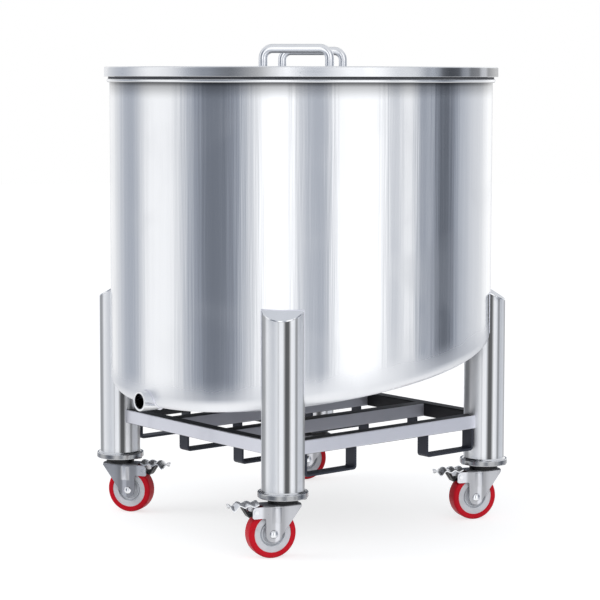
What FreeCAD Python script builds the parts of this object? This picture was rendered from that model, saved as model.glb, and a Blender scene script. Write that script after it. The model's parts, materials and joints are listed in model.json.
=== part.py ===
"""Mobile stainless storage tank: an upright cylinder with a lift-off lid and a sloped
bottom, on four tubular legs with a beam frame, fork straps and swivel casters.

Millimetres. +Z is up, the origin lies on the floor below the tank's axis, and the
outlet at the low side of the bottom faces -Y.
"""
import FreeCAD, Part
import math
import os

V = FreeCAD.Vector

# Tank shell, and its bottom, which the frame's beams lie below
tank_diameter = 840.0
tank_wall = 2.5
tank_top = 963.0
bottom_lift = 110.5
bottom_slope = 0.166
knuckle_radius = 30.0
bottom_flange = 12.0

# Rim bead and seal at the top of the tank
rim_overhang = 6.0
rim_height = 8.0
seal_width = 7.0
seal_height = 4.0

# Lid
lid_overhang = 12.0
lid_sheet = 2.0
lid_height = 21.0
lid_edge_radius = 3.0
lid_lip_gap = 8.5
lid_lip_depth = 15.0
lid_gap = 0.3

# Lid handles
handle_rod = 19.0
handle_span = 159.0
handle_height = 47.5
handle_bend = 20.0
handle_inset = 224.4
handle_aside = 8.0
handle_turn = 45.0

# Outlet pipe, placed above the low end of the bottom's flat part
outlet_diameter = 42.4
outlet_wall = 5.0
outlet_rise = 17.34
outlet_protrusion = 21.0
outlet_lip_round = 1.2

# Legs, with their axes just inside the tank's side
leg_diameter = 89.0
leg_wall = 3.0
leg_inset = 12.5
leg_lap = 142.5
leg_cap_slope = 0.55
leg_cap_thickness = 3.0
leg_cap_round = 1.5

# Foot flanges, which lie on the caster plates
flange_diameter = 105.0
flange_thickness = 8.0
flange_round = 2.0
flange_weld = 3.5

# Frame beams
beam_width = 30.0
beam_height = 30.0
beam_wall = 2.0
beam_corner = 3.0
frame_lift = 74.5
cross_beam_share = 1 / 3

# Straps that a pair of lifting forks passes through
strap_width = 30.0
strap_thickness = 5.0
strap_near_share = 0.35
strap_drop = 47.0
strap_bend = 8.0
strap_clear = 2.8
cross_strap_clear = 19.0

# Caster plate, bearing and king pin
plate_side = 74.0
plate_corner = 8.0
plate_thickness = 4.0
race_diameter = 62.0
race_height = 7.7
race_gap = 0.3
king_pin = 12.0
king_head = 18.0
king_head_height = 2.5
pin_play = 0.05

# Caster fork
wheel_clearance = 6.5
fork_sheet = 2.5
fork_inner_width = 39.0
fork_lead = 33.0
fork_back = 48.0
fork_bend = 6.0
fork_throat = 5.0
fork_end_radius = 16.5
ear_reach = 72.0
ear_drop = 2.5
ear_depth = 26.0
ear_top_round = 9.0
ear_low_round = 4.0
ridge_width = 22.0
ridge_height = 3.0
ridge_place = 21.0
ridge_rise = 16.0
ridge_toe = 12.0

# Wheel
wheel_diameter = 102.0
wheel_trail = 27.0
tyre_width = 31.0
tyre_thickness = 12.0
tyre_round = 5.0
core_width = 28.0
hub_width = 36.0
hub_diameter = 24.0
web_thickness = 10.0
groove_outer = 26.0
ring_outer = 23.0
ring_inner = 20.0
ring_width = 22.0
axle_diameter = 10.0
axle_head = 18.0
axle_head_height = 4.5

# Brake pedal, whose crest runs over two dips to a spoon end, and its dark lever, whose
# bent line is given from the pedal's pin
pedal_pin_reach = 64.0
pedal_pin_drop = 13.0
pedal_pin = 6.0
pedal_pin_head = 9.0
pedal_pin_head_height = 1.5
pedal_width = 38.0
pedal_sheet = 2.2
pedal_start = 57.0
pedal_length = 61.0
pedal_rise = 6.0
pedal_pitch = 20.0
pedal_dip = 4.0
spoon_start = 40.0
spoon_pitch = 26.0
spoon_dip = 10.0
pedal_arch = 5.0
pedal_stations = 19
pedal_arm_width = 28.0
pedal_round = 9.0
lever_width = 25.0
lever_slot = 5.0
lever_sheet = 4.5
lever_start = (4.0, -5.0)
lever_knee = (12.0, -8.5)
lever_end = (30.0, 19.0)

# Directions in which the four casters trail, in degrees from +X
legs = {
    "front_left": (-1, -1, 30.3),
    "front_right": (1, -1, -109.7),
    "rear_right": (1, 1, -109.7),
    "rear_left": (-1, 1, -109.7),
}

tank_radius = tank_diameter / 2
rim_top = tank_top + rim_height
seal_top = rim_top + seal_height
lid_bottom = seal_top + lid_gap
lid_top = lid_bottom + lid_height
handle_offset = tank_radius + lid_overhang - handle_inset
wheel_radius = wheel_diameter / 2
crown_height = wheel_diameter + wheel_clearance + fork_sheet
caster_height = crown_height + race_gap + race_height + plate_thickness
flange_top = caster_height + flange_thickness
beam_bottom = flange_top + frame_lift
bottom_height = beam_bottom + beam_height + bottom_lift
low_end = bottom_height - bottom_slope * (tank_radius - knuckle_radius)
outlet_height = low_end + outlet_rise
outlet_reach = tank_radius + outlet_protrusion
leg_radius = leg_diameter / 2
leg_distance = tank_radius - leg_inset
leg_offset = leg_distance * math.sqrt(0.5)
leg_spacing = 2 * leg_offset
leg_lip_height = bottom_height + leg_lap
cross_beam_offset = leg_offset * cross_beam_share
strap_near = leg_offset * strap_near_share
strap_far = leg_offset - leg_radius - strap_clear
cross_strap_far = leg_offset - beam_width / 2 - cross_strap_clear
fork_half = fork_inner_width / 2 + fork_sheet
ear_top = crown_height - ear_drop
ear_bottom = crown_height - ear_depth
ridge_bottom = wheel_radius + ridge_rise
pedal_pin_height = crown_height - pedal_pin_drop
reach = tank_diameter


def save(name, shape):
    """Write one sub-part to its own file."""
    shape.exportStep("parts/%s.step" % name)


def solid_of(shape):
    """The single solid inside a boolean's result."""
    return shape.Solids[0] if len(shape.Solids) == 1 else shape


def polygon(points):
    """A closed wire through points."""
    return Part.makePolygon(points + points[:1])


def revolved(points, axis=V(0, 0, 1)):
    """A solid of revolution from a section of (radius, height) points about an axis."""
    if axis == V(0, 0, 1):
        corners = [V(r, 0, z) for r, z in points]
    else:
        corners = [V(0, z, r) for r, z in points]
    return Part.Face(polygon(corners)).revolve(V(0, 0, 0), axis, 360)


def rounded_face(corners):
    """A flat face in the XZ plane from (x, z, radius) corners, each turned into an arc."""
    places = [V(x, 0, z) for x, z, _ in corners]
    arcs = []
    for i, (_, _, radius) in enumerate(corners):
        before = places[i - 1].sub(places[i]).normalize()
        after = places[(i + 1) % len(corners)].sub(places[i]).normalize()
        half = before.getAngle(after) / 2
        inward = before.add(after).normalize()
        step = radius / math.tan(half)
        depth = radius / math.sin(half) - radius
        arcs.append([places[i].add(V(before).multiply(step)), places[i].add(inward.multiply(depth)),
                     places[i].add(V(after).multiply(step))])
    edges = []
    for i, (start, middle, end) in enumerate(arcs):
        if corners[i][2] > 0:
            edges.append(Part.Arc(start, middle, end).toShape())
        following = arcs[(i + 1) % len(arcs)][0]
        if end.distanceToPoint(following) > 0.001:
            edges.append(Part.makeLine(end, following))
    return Part.Face(Part.Wire(edges))


def below_slope(height, slope):
    """The space below the plane z = height + slope * y."""
    floor = -reach
    corners = [
        V(-reach, -reach, floor),
        V(-reach, reach, floor),
        V(-reach, reach, height + slope * reach),
        V(-reach, -reach, height - slope * reach),
    ]
    return Part.Face(polygon(corners)).extrude(V(2 * reach, 0, 0))


def on_slope(edge, height, slope):
    """Whether an edge lies in the plane z = height + slope * y."""
    samples = edge.discretize(7)
    return all(abs(p.z - height - slope * p.y) < 0.001 for p in samples)


def tank_volume(inset):
    """The tank's outer form moved in by inset: a cylinder ended by a rounded slope."""
    steepness = math.hypot(1, bottom_slope)
    height = bottom_height + inset * steepness
    body = Part.makeCylinder(tank_radius - inset, tank_top)
    body = body.cut(below_slope(height, bottom_slope))
    edges = [e for e in body.Edges if on_slope(e, height, bottom_slope)]
    return solid_of(body.makeFillet(knuckle_radius - inset, edges))


def weld_space():
    """The space below the weld between shell and bottom, just above the knuckle."""
    steepness = math.hypot(1, bottom_slope)
    slope = bottom_slope * (tank_radius - knuckle_radius) / tank_radius
    return below_slope(bottom_height + knuckle_radius * steepness + bottom_flange, slope)


def outlet_cylinder(diameter):
    """A cylinder along the outlet, from its mouth to the middle of the knuckle."""
    length = outlet_reach - (tank_radius - knuckle_radius)
    start = V(0, -outlet_reach, outlet_height)
    return Part.makeCylinder(diameter / 2, length, start, V(0, 1, 0))


def tank_parts(outer, inner):
    """The shell, the sloped bottom with the outlet's hole, the rim bead and its seal."""
    wall = outer.cut(inner)
    low = weld_space()
    save("tank_shell", solid_of(wall.cut(low)))
    save("tank_bottom", solid_of(wall.common(low).cut(outlet_cylinder(outlet_diameter))))
    save("tank_rim", rim())
    seal_middle = tank_radius + (rim_overhang - rim_height / 2 - tank_wall) / 2
    inside = seal_middle - seal_width / 2
    save("lid_seal", revolved([
        (inside, rim_top), (inside + seal_width, rim_top),
        (inside + seal_width, seal_top), (inside, seal_top),
    ]))


def rim():
    """The rolled edge of the tank, half round on the outside."""
    inside = tank_radius - tank_wall
    middle = tank_radius + rim_overhang - rim_height / 2
    section = Part.Wire([
        Part.makeLine(V(inside, 0, tank_top), V(middle, 0, tank_top)),
        Part.Arc(V(middle, 0, tank_top),
                 V(middle + rim_height / 2, 0, tank_top + rim_height / 2),
                 V(middle, 0, rim_top)).toShape(),
        Part.makeLine(V(middle, 0, rim_top), V(inside, 0, rim_top)),
        Part.makeLine(V(inside, 0, rim_top), V(inside, 0, tank_top)),
    ])
    return Part.Face(section).revolve(V(0, 0, 0), V(0, 0, 1), 360)


def outlet(inner):
    """The outlet pipe, cut off flush with the inside of the tank."""
    pipe = outlet_cylinder(outlet_diameter)
    mouth = [e for e in pipe.Edges if abs(e.BoundBox.YMax + outlet_reach) < 0.001]
    pipe = pipe.makeFillet(outlet_lip_round, mouth)
    bore = outlet_cylinder(outlet_diameter - 2 * outlet_wall)
    return solid_of(pipe.cut(bore).cut(inner))


def lid():
    """A flat lid with a turned-down edge, an inward flange and a lip inside the tank."""
    outside = tank_radius + lid_overhang
    lip = tank_radius - tank_wall - lid_lip_gap
    body = revolved([
        (0, lid_top), (outside, lid_top), (outside, lid_bottom), (lip, lid_bottom),
        (lip, lid_bottom - lid_lip_depth), (lip - lid_sheet, lid_bottom - lid_lip_depth),
        (lip - lid_sheet, lid_bottom + lid_sheet), (outside - lid_sheet, lid_bottom + lid_sheet),
        (outside - lid_sheet, lid_top - lid_sheet), (0, lid_top - lid_sheet),
    ])
    edges = [e for e in body.Edges if abs(e.BoundBox.ZMin - lid_top) < 0.001
             and abs(e.BoundBox.XMax - outside) < 0.001]
    return body.makeFillet(lid_edge_radius, edges)


def handle(side):
    """A bent rod standing on the lid, across the diagonal through two of the legs."""
    half = (handle_span - handle_rod) / 2
    top = handle_height - handle_rod / 2
    knee = top - handle_bend
    turn = handle_bend * (1 - math.sqrt(0.5))
    path = Part.Wire([
        Part.makeLine(V(-half, 0, 0), V(-half, 0, knee)),
        Part.Arc(V(-half, 0, knee), V(-half + turn, 0, top - turn),
                 V(-half + handle_bend, 0, top)).toShape(),
        Part.makeLine(V(-half + handle_bend, 0, top), V(half - handle_bend, 0, top)),
        Part.Arc(V(half - handle_bend, 0, top), V(half - turn, 0, top - turn),
                 V(half, 0, knee)).toShape(),
        Part.makeLine(V(half, 0, knee), V(half, 0, 0)),
    ])
    section = Part.Wire(Part.makeCircle(handle_rod / 2, V(-half, 0, 0)))
    rod = path.makePipeShell([section], True, False)
    rod.translate(V(handle_aside, side * handle_offset, lid_top))
    rod.rotate(V(0, 0, 0), V(0, 0, 1), handle_turn)
    return rod


def leg_space(thickness):
    """The space above a leg's slanted top, for a leg that stands on +X."""
    outer = leg_distance + leg_radius
    lip = leg_lip_height - thickness
    rise = leg_cap_slope * leg_diameter
    corners = [
        V(outer, -leg_radius, lip),
        V(outer - leg_diameter, -leg_radius, lip + rise),
        V(outer - leg_diameter, -leg_radius, tank_top + rise),
        V(outer, -leg_radius, tank_top + rise),
    ]
    return Part.Face(polygon(corners)).extrude(V(0, leg_diameter, 0))


def leg_bar(radius, low):
    """An upright cylinder at the place of a leg that stands on +X."""
    return Part.makeCylinder(radius, tank_top - low, V(leg_distance, 0, low))


def leg_parts(outer):
    """Four leg tubes, let into the tank's side, and the slanted plates that close them."""
    tube = leg_bar(leg_radius, flange_top).cut(leg_bar(leg_radius - leg_wall, flange_top))
    tube = tube.cut(leg_space(leg_cap_thickness))
    cap = leg_bar(leg_radius, flange_top).cut(leg_space(0)).common(leg_space(leg_cap_thickness))
    rim_edges = [e for e in cap.Edges if abs(e.BoundBox.ZMin - leg_lip_height) < 0.01]
    cap = cap.makeFillet(leg_cap_round, rim_edges)
    caps = []
    for name, (x, y, _) in legs.items():
        turn = math.degrees(math.atan2(y, x))
        save("leg_" + name, solid_of(turned(tube, turn).cut(outer)))
        caps.append(solid_of(turned(cap, turn).cut(outer)))
    save("leg_caps", Part.makeCompound(caps))


def turned(shape, degrees):
    """A copy of a shape, turned about the tank's axis."""
    copy = shape.copy()
    copy.rotate(V(0, 0, 0), V(0, 0, 1), degrees)
    return copy


def at_legs(shape):
    """Copies of a shape at the foot of each leg, in one compound."""
    copies = []
    for x, y, _ in legs.values():
        copy = shape.copy()
        copy.translate(V(x * leg_offset, y * leg_offset, 0))
        copies.append(copy)
    return Part.makeCompound(copies)


def flange():
    """The round foot flange below a leg, with the hollow weld round the leg's tube."""
    disc = Part.makeCylinder(flange_diameter / 2, flange_thickness, V(0, 0, caster_height))
    disc = disc.makeFillet(flange_round, [e for e in disc.Edges if e.Closed])
    foot = V(leg_radius + flange_weld, 0, flange_top)
    head = V(leg_radius, 0, flange_top + flange_weld)
    sag = flange_weld * (1 - math.sqrt(0.5))
    section = Part.Wire([
        Part.makeLine(V(leg_radius, 0, flange_top), foot),
        Part.Arc(foot, V(leg_radius + sag, 0, flange_top + sag), head).toShape(),
        Part.makeLine(head, V(leg_radius, 0, flange_top)),
    ])
    weld = Part.Face(section).revolve(V(0, 0, 0), V(0, 0, 1), 360)
    return solid_of(disc.fuse(weld))


def tube_box(length, centre_x):
    """A hollow square beam with rounded corners along Y, centred on y = 0."""
    def block(inset):
        corner = V(centre_x - beam_width / 2 + inset, -length / 2, beam_bottom + inset)
        body = Part.makeBox(beam_width - 2 * inset, length, beam_height - 2 * inset, corner)
        edges = [e for e in body.Edges if e.BoundBox.YLength > length / 2]
        return body.makeFillet(beam_corner - inset, edges)
    return block(0).cut(block(beam_wall))


def frame_parts():
    """Four beams between the legs, and two cross beams that the fork straps share."""
    leg_tubes = at_legs(Part.makeCylinder(leg_radius, tank_top))
    for name, turn in (("right", 0), ("rear", 90), ("left", 180), ("front", 270)):
        beam = turned(tube_box(leg_spacing, leg_offset), turn)
        save("frame_beam_" + name, solid_of(beam.cut(leg_tubes)))
    length = leg_spacing - beam_width
    save("cross_beams", Part.makeCompound([
        tube_box(length, x) for x in (-cross_beam_offset, cross_beam_offset)]))


def strap(centre_x, far, side):
    """A flat bar bent to a U, hung below a beam from its near to its far end along Y."""
    def channel(inset):
        width = far - strap_near - 2 * inset
        low = beam_bottom - strap_drop + inset
        corner = V(centre_x - strap_width / 2, strap_near + inset, low)
        body = Part.makeBox(strap_width, width, strap_drop - inset, corner)
        edges = [e for e in body.Edges if e.BoundBox.ZMax < low + 0.001
                 and e.BoundBox.XLength > strap_width - 0.001]
        return body.makeFillet(strap_bend - inset, edges)
    bar = channel(0).cut(channel(strap_thickness))
    return bar if side > 0 else bar.mirror(V(0, 0, 0), V(0, 1, 0))


def strap_parts():
    """Two straps below each beam that runs along Y, in one set for each side."""
    for name, side in (("left", -1), ("right", 1)):
        places = [(side * leg_offset, strap_far), (side * cross_beam_offset, cross_strap_far)]
        save("fork_straps_" + name, Part.makeCompound([
            strap(x, far, end) for x, far in places for end in (-1, 1)]))


def caster_plate():
    """The square top plate with its bearing cup and king pin."""
    half = plate_side / 2
    low = caster_height - plate_thickness
    plate = Part.makeBox(plate_side, plate_side, plate_thickness, V(-half, -half, low))
    corners = [e for e in plate.Edges if e.BoundBox.ZLength > plate_thickness / 2]
    plate = plate.makeFillet(plate_corner, corners)
    race_low = crown_height + race_gap
    race = Part.makeCylinder(race_diameter / 2, low - race_low, V(0, 0, race_low))
    head_top = crown_height - fork_sheet - race_gap
    pin = Part.makeCylinder(king_pin / 2, race_low - head_top, V(0, 0, head_top))
    head_low = head_top - king_head_height
    head = Part.makeCylinder(king_head / 2, king_head_height, V(0, 0, head_low))
    return plate.fuse([race, pin, head]).removeSplitter()


def fork_side():
    """One side of the fork: slanted in front, round at the axle and upright behind.

    Caster parts are drawn with the swivel axis on Z and the wheel trailing along +X.
    """
    axle = V(wheel_trail, 0, wheel_radius)
    lead = V(-fork_lead, 0, crown_height - fork_bend)
    to_lead = lead.sub(axle)
    away = math.atan2(to_lead.z, to_lead.x) + math.acos(fork_end_radius / to_lead.Length)
    touch = axle.add(V(math.cos(away), 0, math.sin(away)).multiply(fork_end_radius))
    low = axle.add(V(0, 0, -fork_end_radius))
    back = axle.add(V(fork_end_radius, 0, 0))
    points = [
        back, V(back.x, 0, ear_bottom), V(fork_back, 0, ear_bottom),
        V(fork_back, 0, crown_height), V(-fork_lead, 0, crown_height), lead, touch,
    ]
    edges = [Part.makeLine(a, b) for a, b in zip(points, points[1:])]
    edges.append(Part.Arc(touch, low, back).toShape())
    return Part.Face(Part.Wire(edges))


def ear(side):
    """A flat ear behind the crown, round at its far end and hollowed below to the fork."""
    back = wheel_trail + fork_end_radius
    root = back - fork_throat
    plate = rounded_face([
        (root, ear_bottom - fork_throat, 0), (back, ear_bottom - fork_throat, 0),
        (back, ear_bottom, fork_throat), (ear_reach, ear_bottom, ear_low_round),
        (ear_reach, ear_top, ear_top_round), (fork_back, ear_top, 0),
        (fork_back, crown_height - fork_bend, 0), (root, crown_height - fork_bend, 0),
    ]).extrude(V(0, fork_sheet, 0))
    plate.translate(V(0, fork_half - fork_sheet if side > 0 else -fork_half, 0))
    return plate


def ridge(side, inset):
    """An upright pressed ridge on a fork side, as a slice of a round bar with a sloped toe."""
    bar_radius = ((ridge_width / 2) ** 2 + ridge_height ** 2) / (2 * ridge_height)
    outside = fork_half + ridge_height
    centre_y = side * (outside - bar_radius)
    height = crown_height - fork_bend - ridge_bottom
    bar = Part.makeCylinder(bar_radius - inset, height, V(ridge_place, centre_y, ridge_bottom))
    low = ridge_bottom - inset
    toe = [
        V(0, side * outside, low), V(0, side * (fork_half - ridge_height), low),
        V(0, side * outside, low + ridge_toe),
    ]
    wedge = Part.Face(polygon(toe)).extrude(V(2 * bar_radius, 0, 0))
    wedge.translate(V(ridge_place - bar_radius, 0, 0))
    return bar.cut(wedge)


def caster_fork():
    """The pressed sheet fork: a crown, two sides with ridges, and ears for the pedal."""
    body = fork_side().extrude(V(0, 2 * fork_half, 0))
    body.translate(V(0, -fork_half, 0))
    top_edges = [e for e in body.Edges if abs(e.BoundBox.ZMin - crown_height) < 0.001
                 and e.BoundBox.XLength > fork_lead]
    body = body.makeFillet(fork_bend, top_edges)
    body = body.fuse([ridge(1, 0), ridge(-1, 0)])
    space = Part.makeBox(2 * wheel_diameter, fork_inner_width, crown_height - fork_sheet,
                         V(-wheel_diameter, -fork_inner_width / 2, 0))
    long_edges = [e for e in space.Edges if e.BoundBox.ZMin > crown_height - fork_sheet - 0.001
                  and e.BoundBox.XLength > fork_lead]
    space = space.makeFillet(fork_bend - fork_sheet, long_edges)
    body = body.cut(space.fuse([ridge(1, fork_sheet), ridge(-1, fork_sheet)]))
    body = body.fuse([ear(1), ear(-1)]).removeSplitter()
    king_hole = Part.makeCylinder(king_pin / 2 + pin_play, crown_height)
    holes = [
        king_hole,
        cross_bar(axle_diameter / 2, 4 * fork_half, wheel_trail, wheel_radius),
        cross_bar(pedal_pin / 2 + pin_play, 4 * fork_half, pedal_pin_reach, pedal_pin_height),
    ]
    return solid_of(body.cut(holes))


def cross_bar(radius, length, x, z):
    """A round bar along Y, centred on the fork's middle plane."""
    return Part.makeCylinder(radius, length, V(x, -length / 2, z), V(0, 1, 0))


def caster_axle():
    """The wheel's axle with a domed head on each side."""
    shaft_half = fork_half + axle_head_height / 2
    bar = cross_bar(axle_diameter / 2, 2 * shaft_half, wheel_trail, wheel_radius)
    dome_radius = ((axle_head / 2) ** 2 + axle_head_height ** 2) / (2 * axle_head_height)
    heads = []
    for side in (-1, 1):
        centre_y = side * (fork_half + axle_head_height - dome_radius)
        ball = Part.makeSphere(dome_radius, V(wheel_trail, centre_y, wheel_radius))
        near = fork_half if side > 0 else -fork_half - axle_head_height
        keep = Part.makeBox(axle_head, axle_head_height, axle_head,
                            V(wheel_trail - axle_head / 2, near, wheel_radius - axle_head / 2))
        heads.append(ball.common(keep))
    return solid_of(bar.fuse(heads).removeSplitter())


def wheel_core():
    """The wheel's centre: hub, web, a raised ring on each side, and the rim."""
    bore = axle_diameter / 2 + pin_play
    outside = wheel_radius - tyre_thickness
    steps = [
        (bore, hub_width / 2), (hub_diameter / 2, hub_width / 2),
        (hub_diameter / 2, web_thickness / 2), (ring_inner, web_thickness / 2),
        (ring_inner, ring_width / 2), (ring_outer, ring_width / 2),
        (ring_outer, web_thickness / 2), (groove_outer, web_thickness / 2),
        (groove_outer, core_width / 2), (outside, core_width / 2),
    ]
    mirrored = [(r, -y) for r, y in reversed(steps)]
    core = revolved(steps + mirrored, V(0, 1, 0))
    core.translate(V(wheel_trail, 0, wheel_radius))
    return core


def tyre():
    """The tyre cast on the core, with rounded shoulders."""
    inside = wheel_radius - tyre_thickness
    half = tyre_width / 2
    ring = cross_bar(wheel_radius, tyre_width, wheel_trail, wheel_radius)
    ring = ring.makeFillet(tyre_round, [e for e in ring.Edges if e.Closed])
    return ring.cut(cross_bar(inside, 4 * half, wheel_trail, wheel_radius))


def pedal_crest(run):
    """Height of the pedal's crest: even waves, then a deeper and longer one for the spoon."""
    if run < spoon_start:
        return crown_height + pedal_rise - pedal_dip * math.sin(math.pi * run / pedal_pitch) ** 2
    wave = math.sin(math.pi * (run - spoon_start) / spoon_pitch) ** 2
    return crown_height + pedal_rise - spoon_dip * wave


def pedal_underside():
    """The pedal's underside: its crest, which falls off to both sides as a parabola."""
    across = [share * pedal_width / 2 for share in (-1, -0.5, 0, 0.5, 1)]
    falls = [pedal_arch * (2 * y / pedal_width) ** 2 for y in across]
    grid = []
    for i in range(pedal_stations):
        run = pedal_length * i / (pedal_stations - 1)
        crest = pedal_crest(run)
        grid.append([V(pedal_start + run, y, crest - fall) for y, fall in zip(across, falls)])
    form = Part.BSplineSurface()
    form.interpolate(grid)
    return form.toShape()


def brake_pedal():
    """The pressed pedal on its arm, with the pin that turns in the fork's ears."""
    pin = cross_bar(pedal_pin / 2, 2 * (fork_half + pin_play), pedal_pin_reach, pedal_pin_height)
    hub_radius = pedal_pin
    hub = cross_bar(hub_radius, pedal_arm_width, pedal_pin_reach, pedal_pin_height)
    underside = pedal_underside()
    plan = Part.makeBox(pedal_length, pedal_width, wheel_diameter,
                        V(pedal_start, -pedal_width / 2, wheel_radius))
    far_corners = [e for e in plan.Edges if e.BoundBox.ZLength > wheel_radius
                   and e.BoundBox.XMin > pedal_start + pedal_length - 0.001]
    plan = plan.makeFillet(pedal_round, far_corners)
    plate = underside.extrude(V(0, 0, pedal_sheet)).common(plan)
    arm = Part.makeBox(2 * hub_radius, pedal_arm_width, 2 * pedal_pin_drop,
                       V(pedal_pin_reach - hub_radius, -pedal_arm_width / 2, pedal_pin_height))
    above = underside.extrude(V(0, 0, wheel_diameter))
    above.translate(V(0, 0, pedal_sheet / 2))
    arm = arm.cut(above)
    heads = []
    for side in (-1, 1):
        start = V(pedal_pin_reach, side * (fork_half + pin_play), pedal_pin_height)
        heads.append(Part.makeCylinder(pedal_pin_head / 2, pedal_pin_head_height, start,
                                       V(0, side, 0)))
    return solid_of(pin.fuse([hub, arm, plate] + heads).removeSplitter())


def brake_lever():
    """The dark lever: two bent bars from the pedal's hub out and up to the pedal's underside."""
    pin = V(pedal_pin_reach, 0, pedal_pin_height)
    start, knee, end = [pin.add(V(x, 0, z)) for x, z in (lever_start, lever_knee, lever_end)]
    first, last = [V(0, 1, 0).cross(run).normalize() for run in (knee.sub(start), end.sub(knee))]
    middle = first.add(last).multiply(1 / (1 + first.dot(last)))
    steps = [V(across).multiply(lever_sheet / 2) for across in (first, middle, last)]
    upper = [point.add(step) for point, step in zip((start, knee, end), steps)]
    lower = [point.sub(step) for point, step in zip((start, knee, end), steps)]
    body = Part.Face(polygon(upper + lower[::-1])).extrude(V(0, lever_width, 0))
    body.translate(V(0, -lever_width / 2, 0))
    slot = Part.makeBox(end.x - knee.x, lever_slot, end.z - knee.z + lever_sheet,
                        V(knee.x + lever_sheet, -lever_slot / 2, knee.z - lever_sheet))
    above = pedal_underside().extrude(V(0, 0, wheel_diameter))
    hub = cross_bar(pedal_pin, pedal_arm_width, pedal_pin_reach, pedal_pin_height)
    return solid_of(body.cut([slot, above, hub]))


def caster_parts():
    """The plates on the frame, and the moving pieces of each caster at its own heading."""
    save("caster_plates", at_legs(caster_plate()))
    pieces = {
        "caster_fork_": caster_fork(),
        "caster_axle_": caster_axle(),
        "wheel_core_": wheel_core(),
        "tyre_": tyre(),
        "brake_pedal_": brake_pedal(),
        "brake_lever_": brake_lever(),
    }
    for name, (x, y, heading) in legs.items():
        for prefix, shape in pieces.items():
            piece = turned(shape, heading)
            piece.translate(V(x * leg_offset, y * leg_offset, 0))
            save(prefix + name, piece)


def main():
    os.makedirs("parts", exist_ok=True)
    outer = tank_volume(0)
    inner = tank_volume(tank_wall)
    tank_parts(outer, inner)
    save("outlet_pipe", outlet(inner))
    save("lid", lid())
    save("lid_handles", Part.makeCompound([handle(-1), handle(1)]))
    leg_parts(outer)
    save("leg_flanges", at_legs(flange()))
    frame_parts()
    strap_parts()
    caster_parts()


main()
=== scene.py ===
"""Looks of a mobile stainless storage tank: shell, lid, legs, frame and casters.

Metres, +Z up. The origin lies on the floor below the tank's axis, and the outlet
at the low side of the sloped bottom faces -Y. Each caster is drawn in its own
coordinates first: trail away from the swivel, side along the axle, and height.
"""
import json
import math

import bmesh
import bpy
import numpy as np
from bpy.props import (
    BoolProperty, FloatProperty, FloatVectorProperty, IntProperty, PointerProperty)
from mathutils import Matrix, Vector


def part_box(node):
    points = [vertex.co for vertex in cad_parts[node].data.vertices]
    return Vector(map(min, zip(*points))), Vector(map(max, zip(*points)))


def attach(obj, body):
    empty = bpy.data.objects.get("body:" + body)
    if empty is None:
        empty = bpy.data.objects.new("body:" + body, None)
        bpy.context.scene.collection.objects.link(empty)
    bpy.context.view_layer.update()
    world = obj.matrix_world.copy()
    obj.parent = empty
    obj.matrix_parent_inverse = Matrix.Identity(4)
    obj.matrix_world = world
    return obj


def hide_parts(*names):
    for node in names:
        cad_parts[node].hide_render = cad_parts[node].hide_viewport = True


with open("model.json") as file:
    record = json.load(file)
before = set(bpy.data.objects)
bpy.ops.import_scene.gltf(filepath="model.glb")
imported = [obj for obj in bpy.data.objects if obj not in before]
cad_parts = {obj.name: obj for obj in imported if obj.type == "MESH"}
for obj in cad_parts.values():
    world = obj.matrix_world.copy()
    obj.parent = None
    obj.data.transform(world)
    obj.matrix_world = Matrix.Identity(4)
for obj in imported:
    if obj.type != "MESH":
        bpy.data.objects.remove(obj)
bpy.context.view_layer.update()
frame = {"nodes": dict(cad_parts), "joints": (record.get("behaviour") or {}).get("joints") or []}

bl_info = {
    "name": "Mobile storage tank",
    "version": (1, 0, 0),
    "blender": (4, 5, 0),
    "location": "3D View > Sidebar > Storage Tank",
    "description": "Builds the skin, lid, legs, frame and casters of a mobile stainless tank",
    "category": "Object",
}

MM = 0.001

LEGS = {"front_left": (-1, -1), "front_right": (1, -1), "rear_right": (1, 1), "rear_left": (-1, 1)}
JOINTS = {joint["name"]: joint for joint in frame["joints"]}

_, SHELL_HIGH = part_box("tank_shell")
RIM_LOW, RIM_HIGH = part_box("tank_rim")
SEAL_LOW, SEAL_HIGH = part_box("lid_seal")
LID_LOW, LID_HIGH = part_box("lid")
_, GRIP_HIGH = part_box("lid_handles")
OUTLET_LOW, OUTLET_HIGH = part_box("outlet_pipe")
LEG_LOW, LEG_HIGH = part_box("leg_front_right")
CAP_LOW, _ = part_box("leg_caps")
FOOT_LOW, FOOT_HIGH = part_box("leg_flanges")
BEAM_LOW, BEAM_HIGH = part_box("frame_beam_front")
_, SIDE_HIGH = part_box("frame_beam_right")
_, CROSS_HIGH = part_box("cross_beams")
STRAP_LOW, STRAP_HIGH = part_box("fork_straps_right")
_, TYRE_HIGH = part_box("tyre_front_right")

OUTLET_RADIUS = (OUTLET_HIGH.x - OUTLET_LOW.x) / 2
OUTLET_HEIGHT = (OUTLET_LOW.z + OUTLET_HIGH.z) / 2
LEG_RADIUS = (LEG_HIGH.x - LEG_LOW.x) / 2
LEG_OFFSET = JOINTS["caster_swivel_front_right"]["pos_m"][0]
LEG_REACH = math.hypot(*JOINTS["caster_swivel_front_right"]["pos_m"][:2])
BEAM_HALF = (BEAM_HIGH.y - BEAM_LOW.y) / 2
BEAM_MIDDLE = (BEAM_HIGH.z + BEAM_LOW.z) / 2

# Points along the curved surfaces. A leg's tube and its top plate share the front arc.
WALL_ROWS = 12
KNUCKLE_ROWS = 17
BOTTOM_SHARES = (0.97, 0.85, 0.65, 0.4, 0.15, 0.0)
OUTLET_COLUMNS = 72
BEAD_COLUMNS = 10
LEG_ROWS = 9
LEG_FRONT_POINTS = 41
LEG_BACK_POINTS = 57

# Heights of the painted shade below the rim and of the duller zone above the bottom's edge
RIM_SHADE = 38 * MM
DULL_ZONE = 80 * MM
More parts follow.
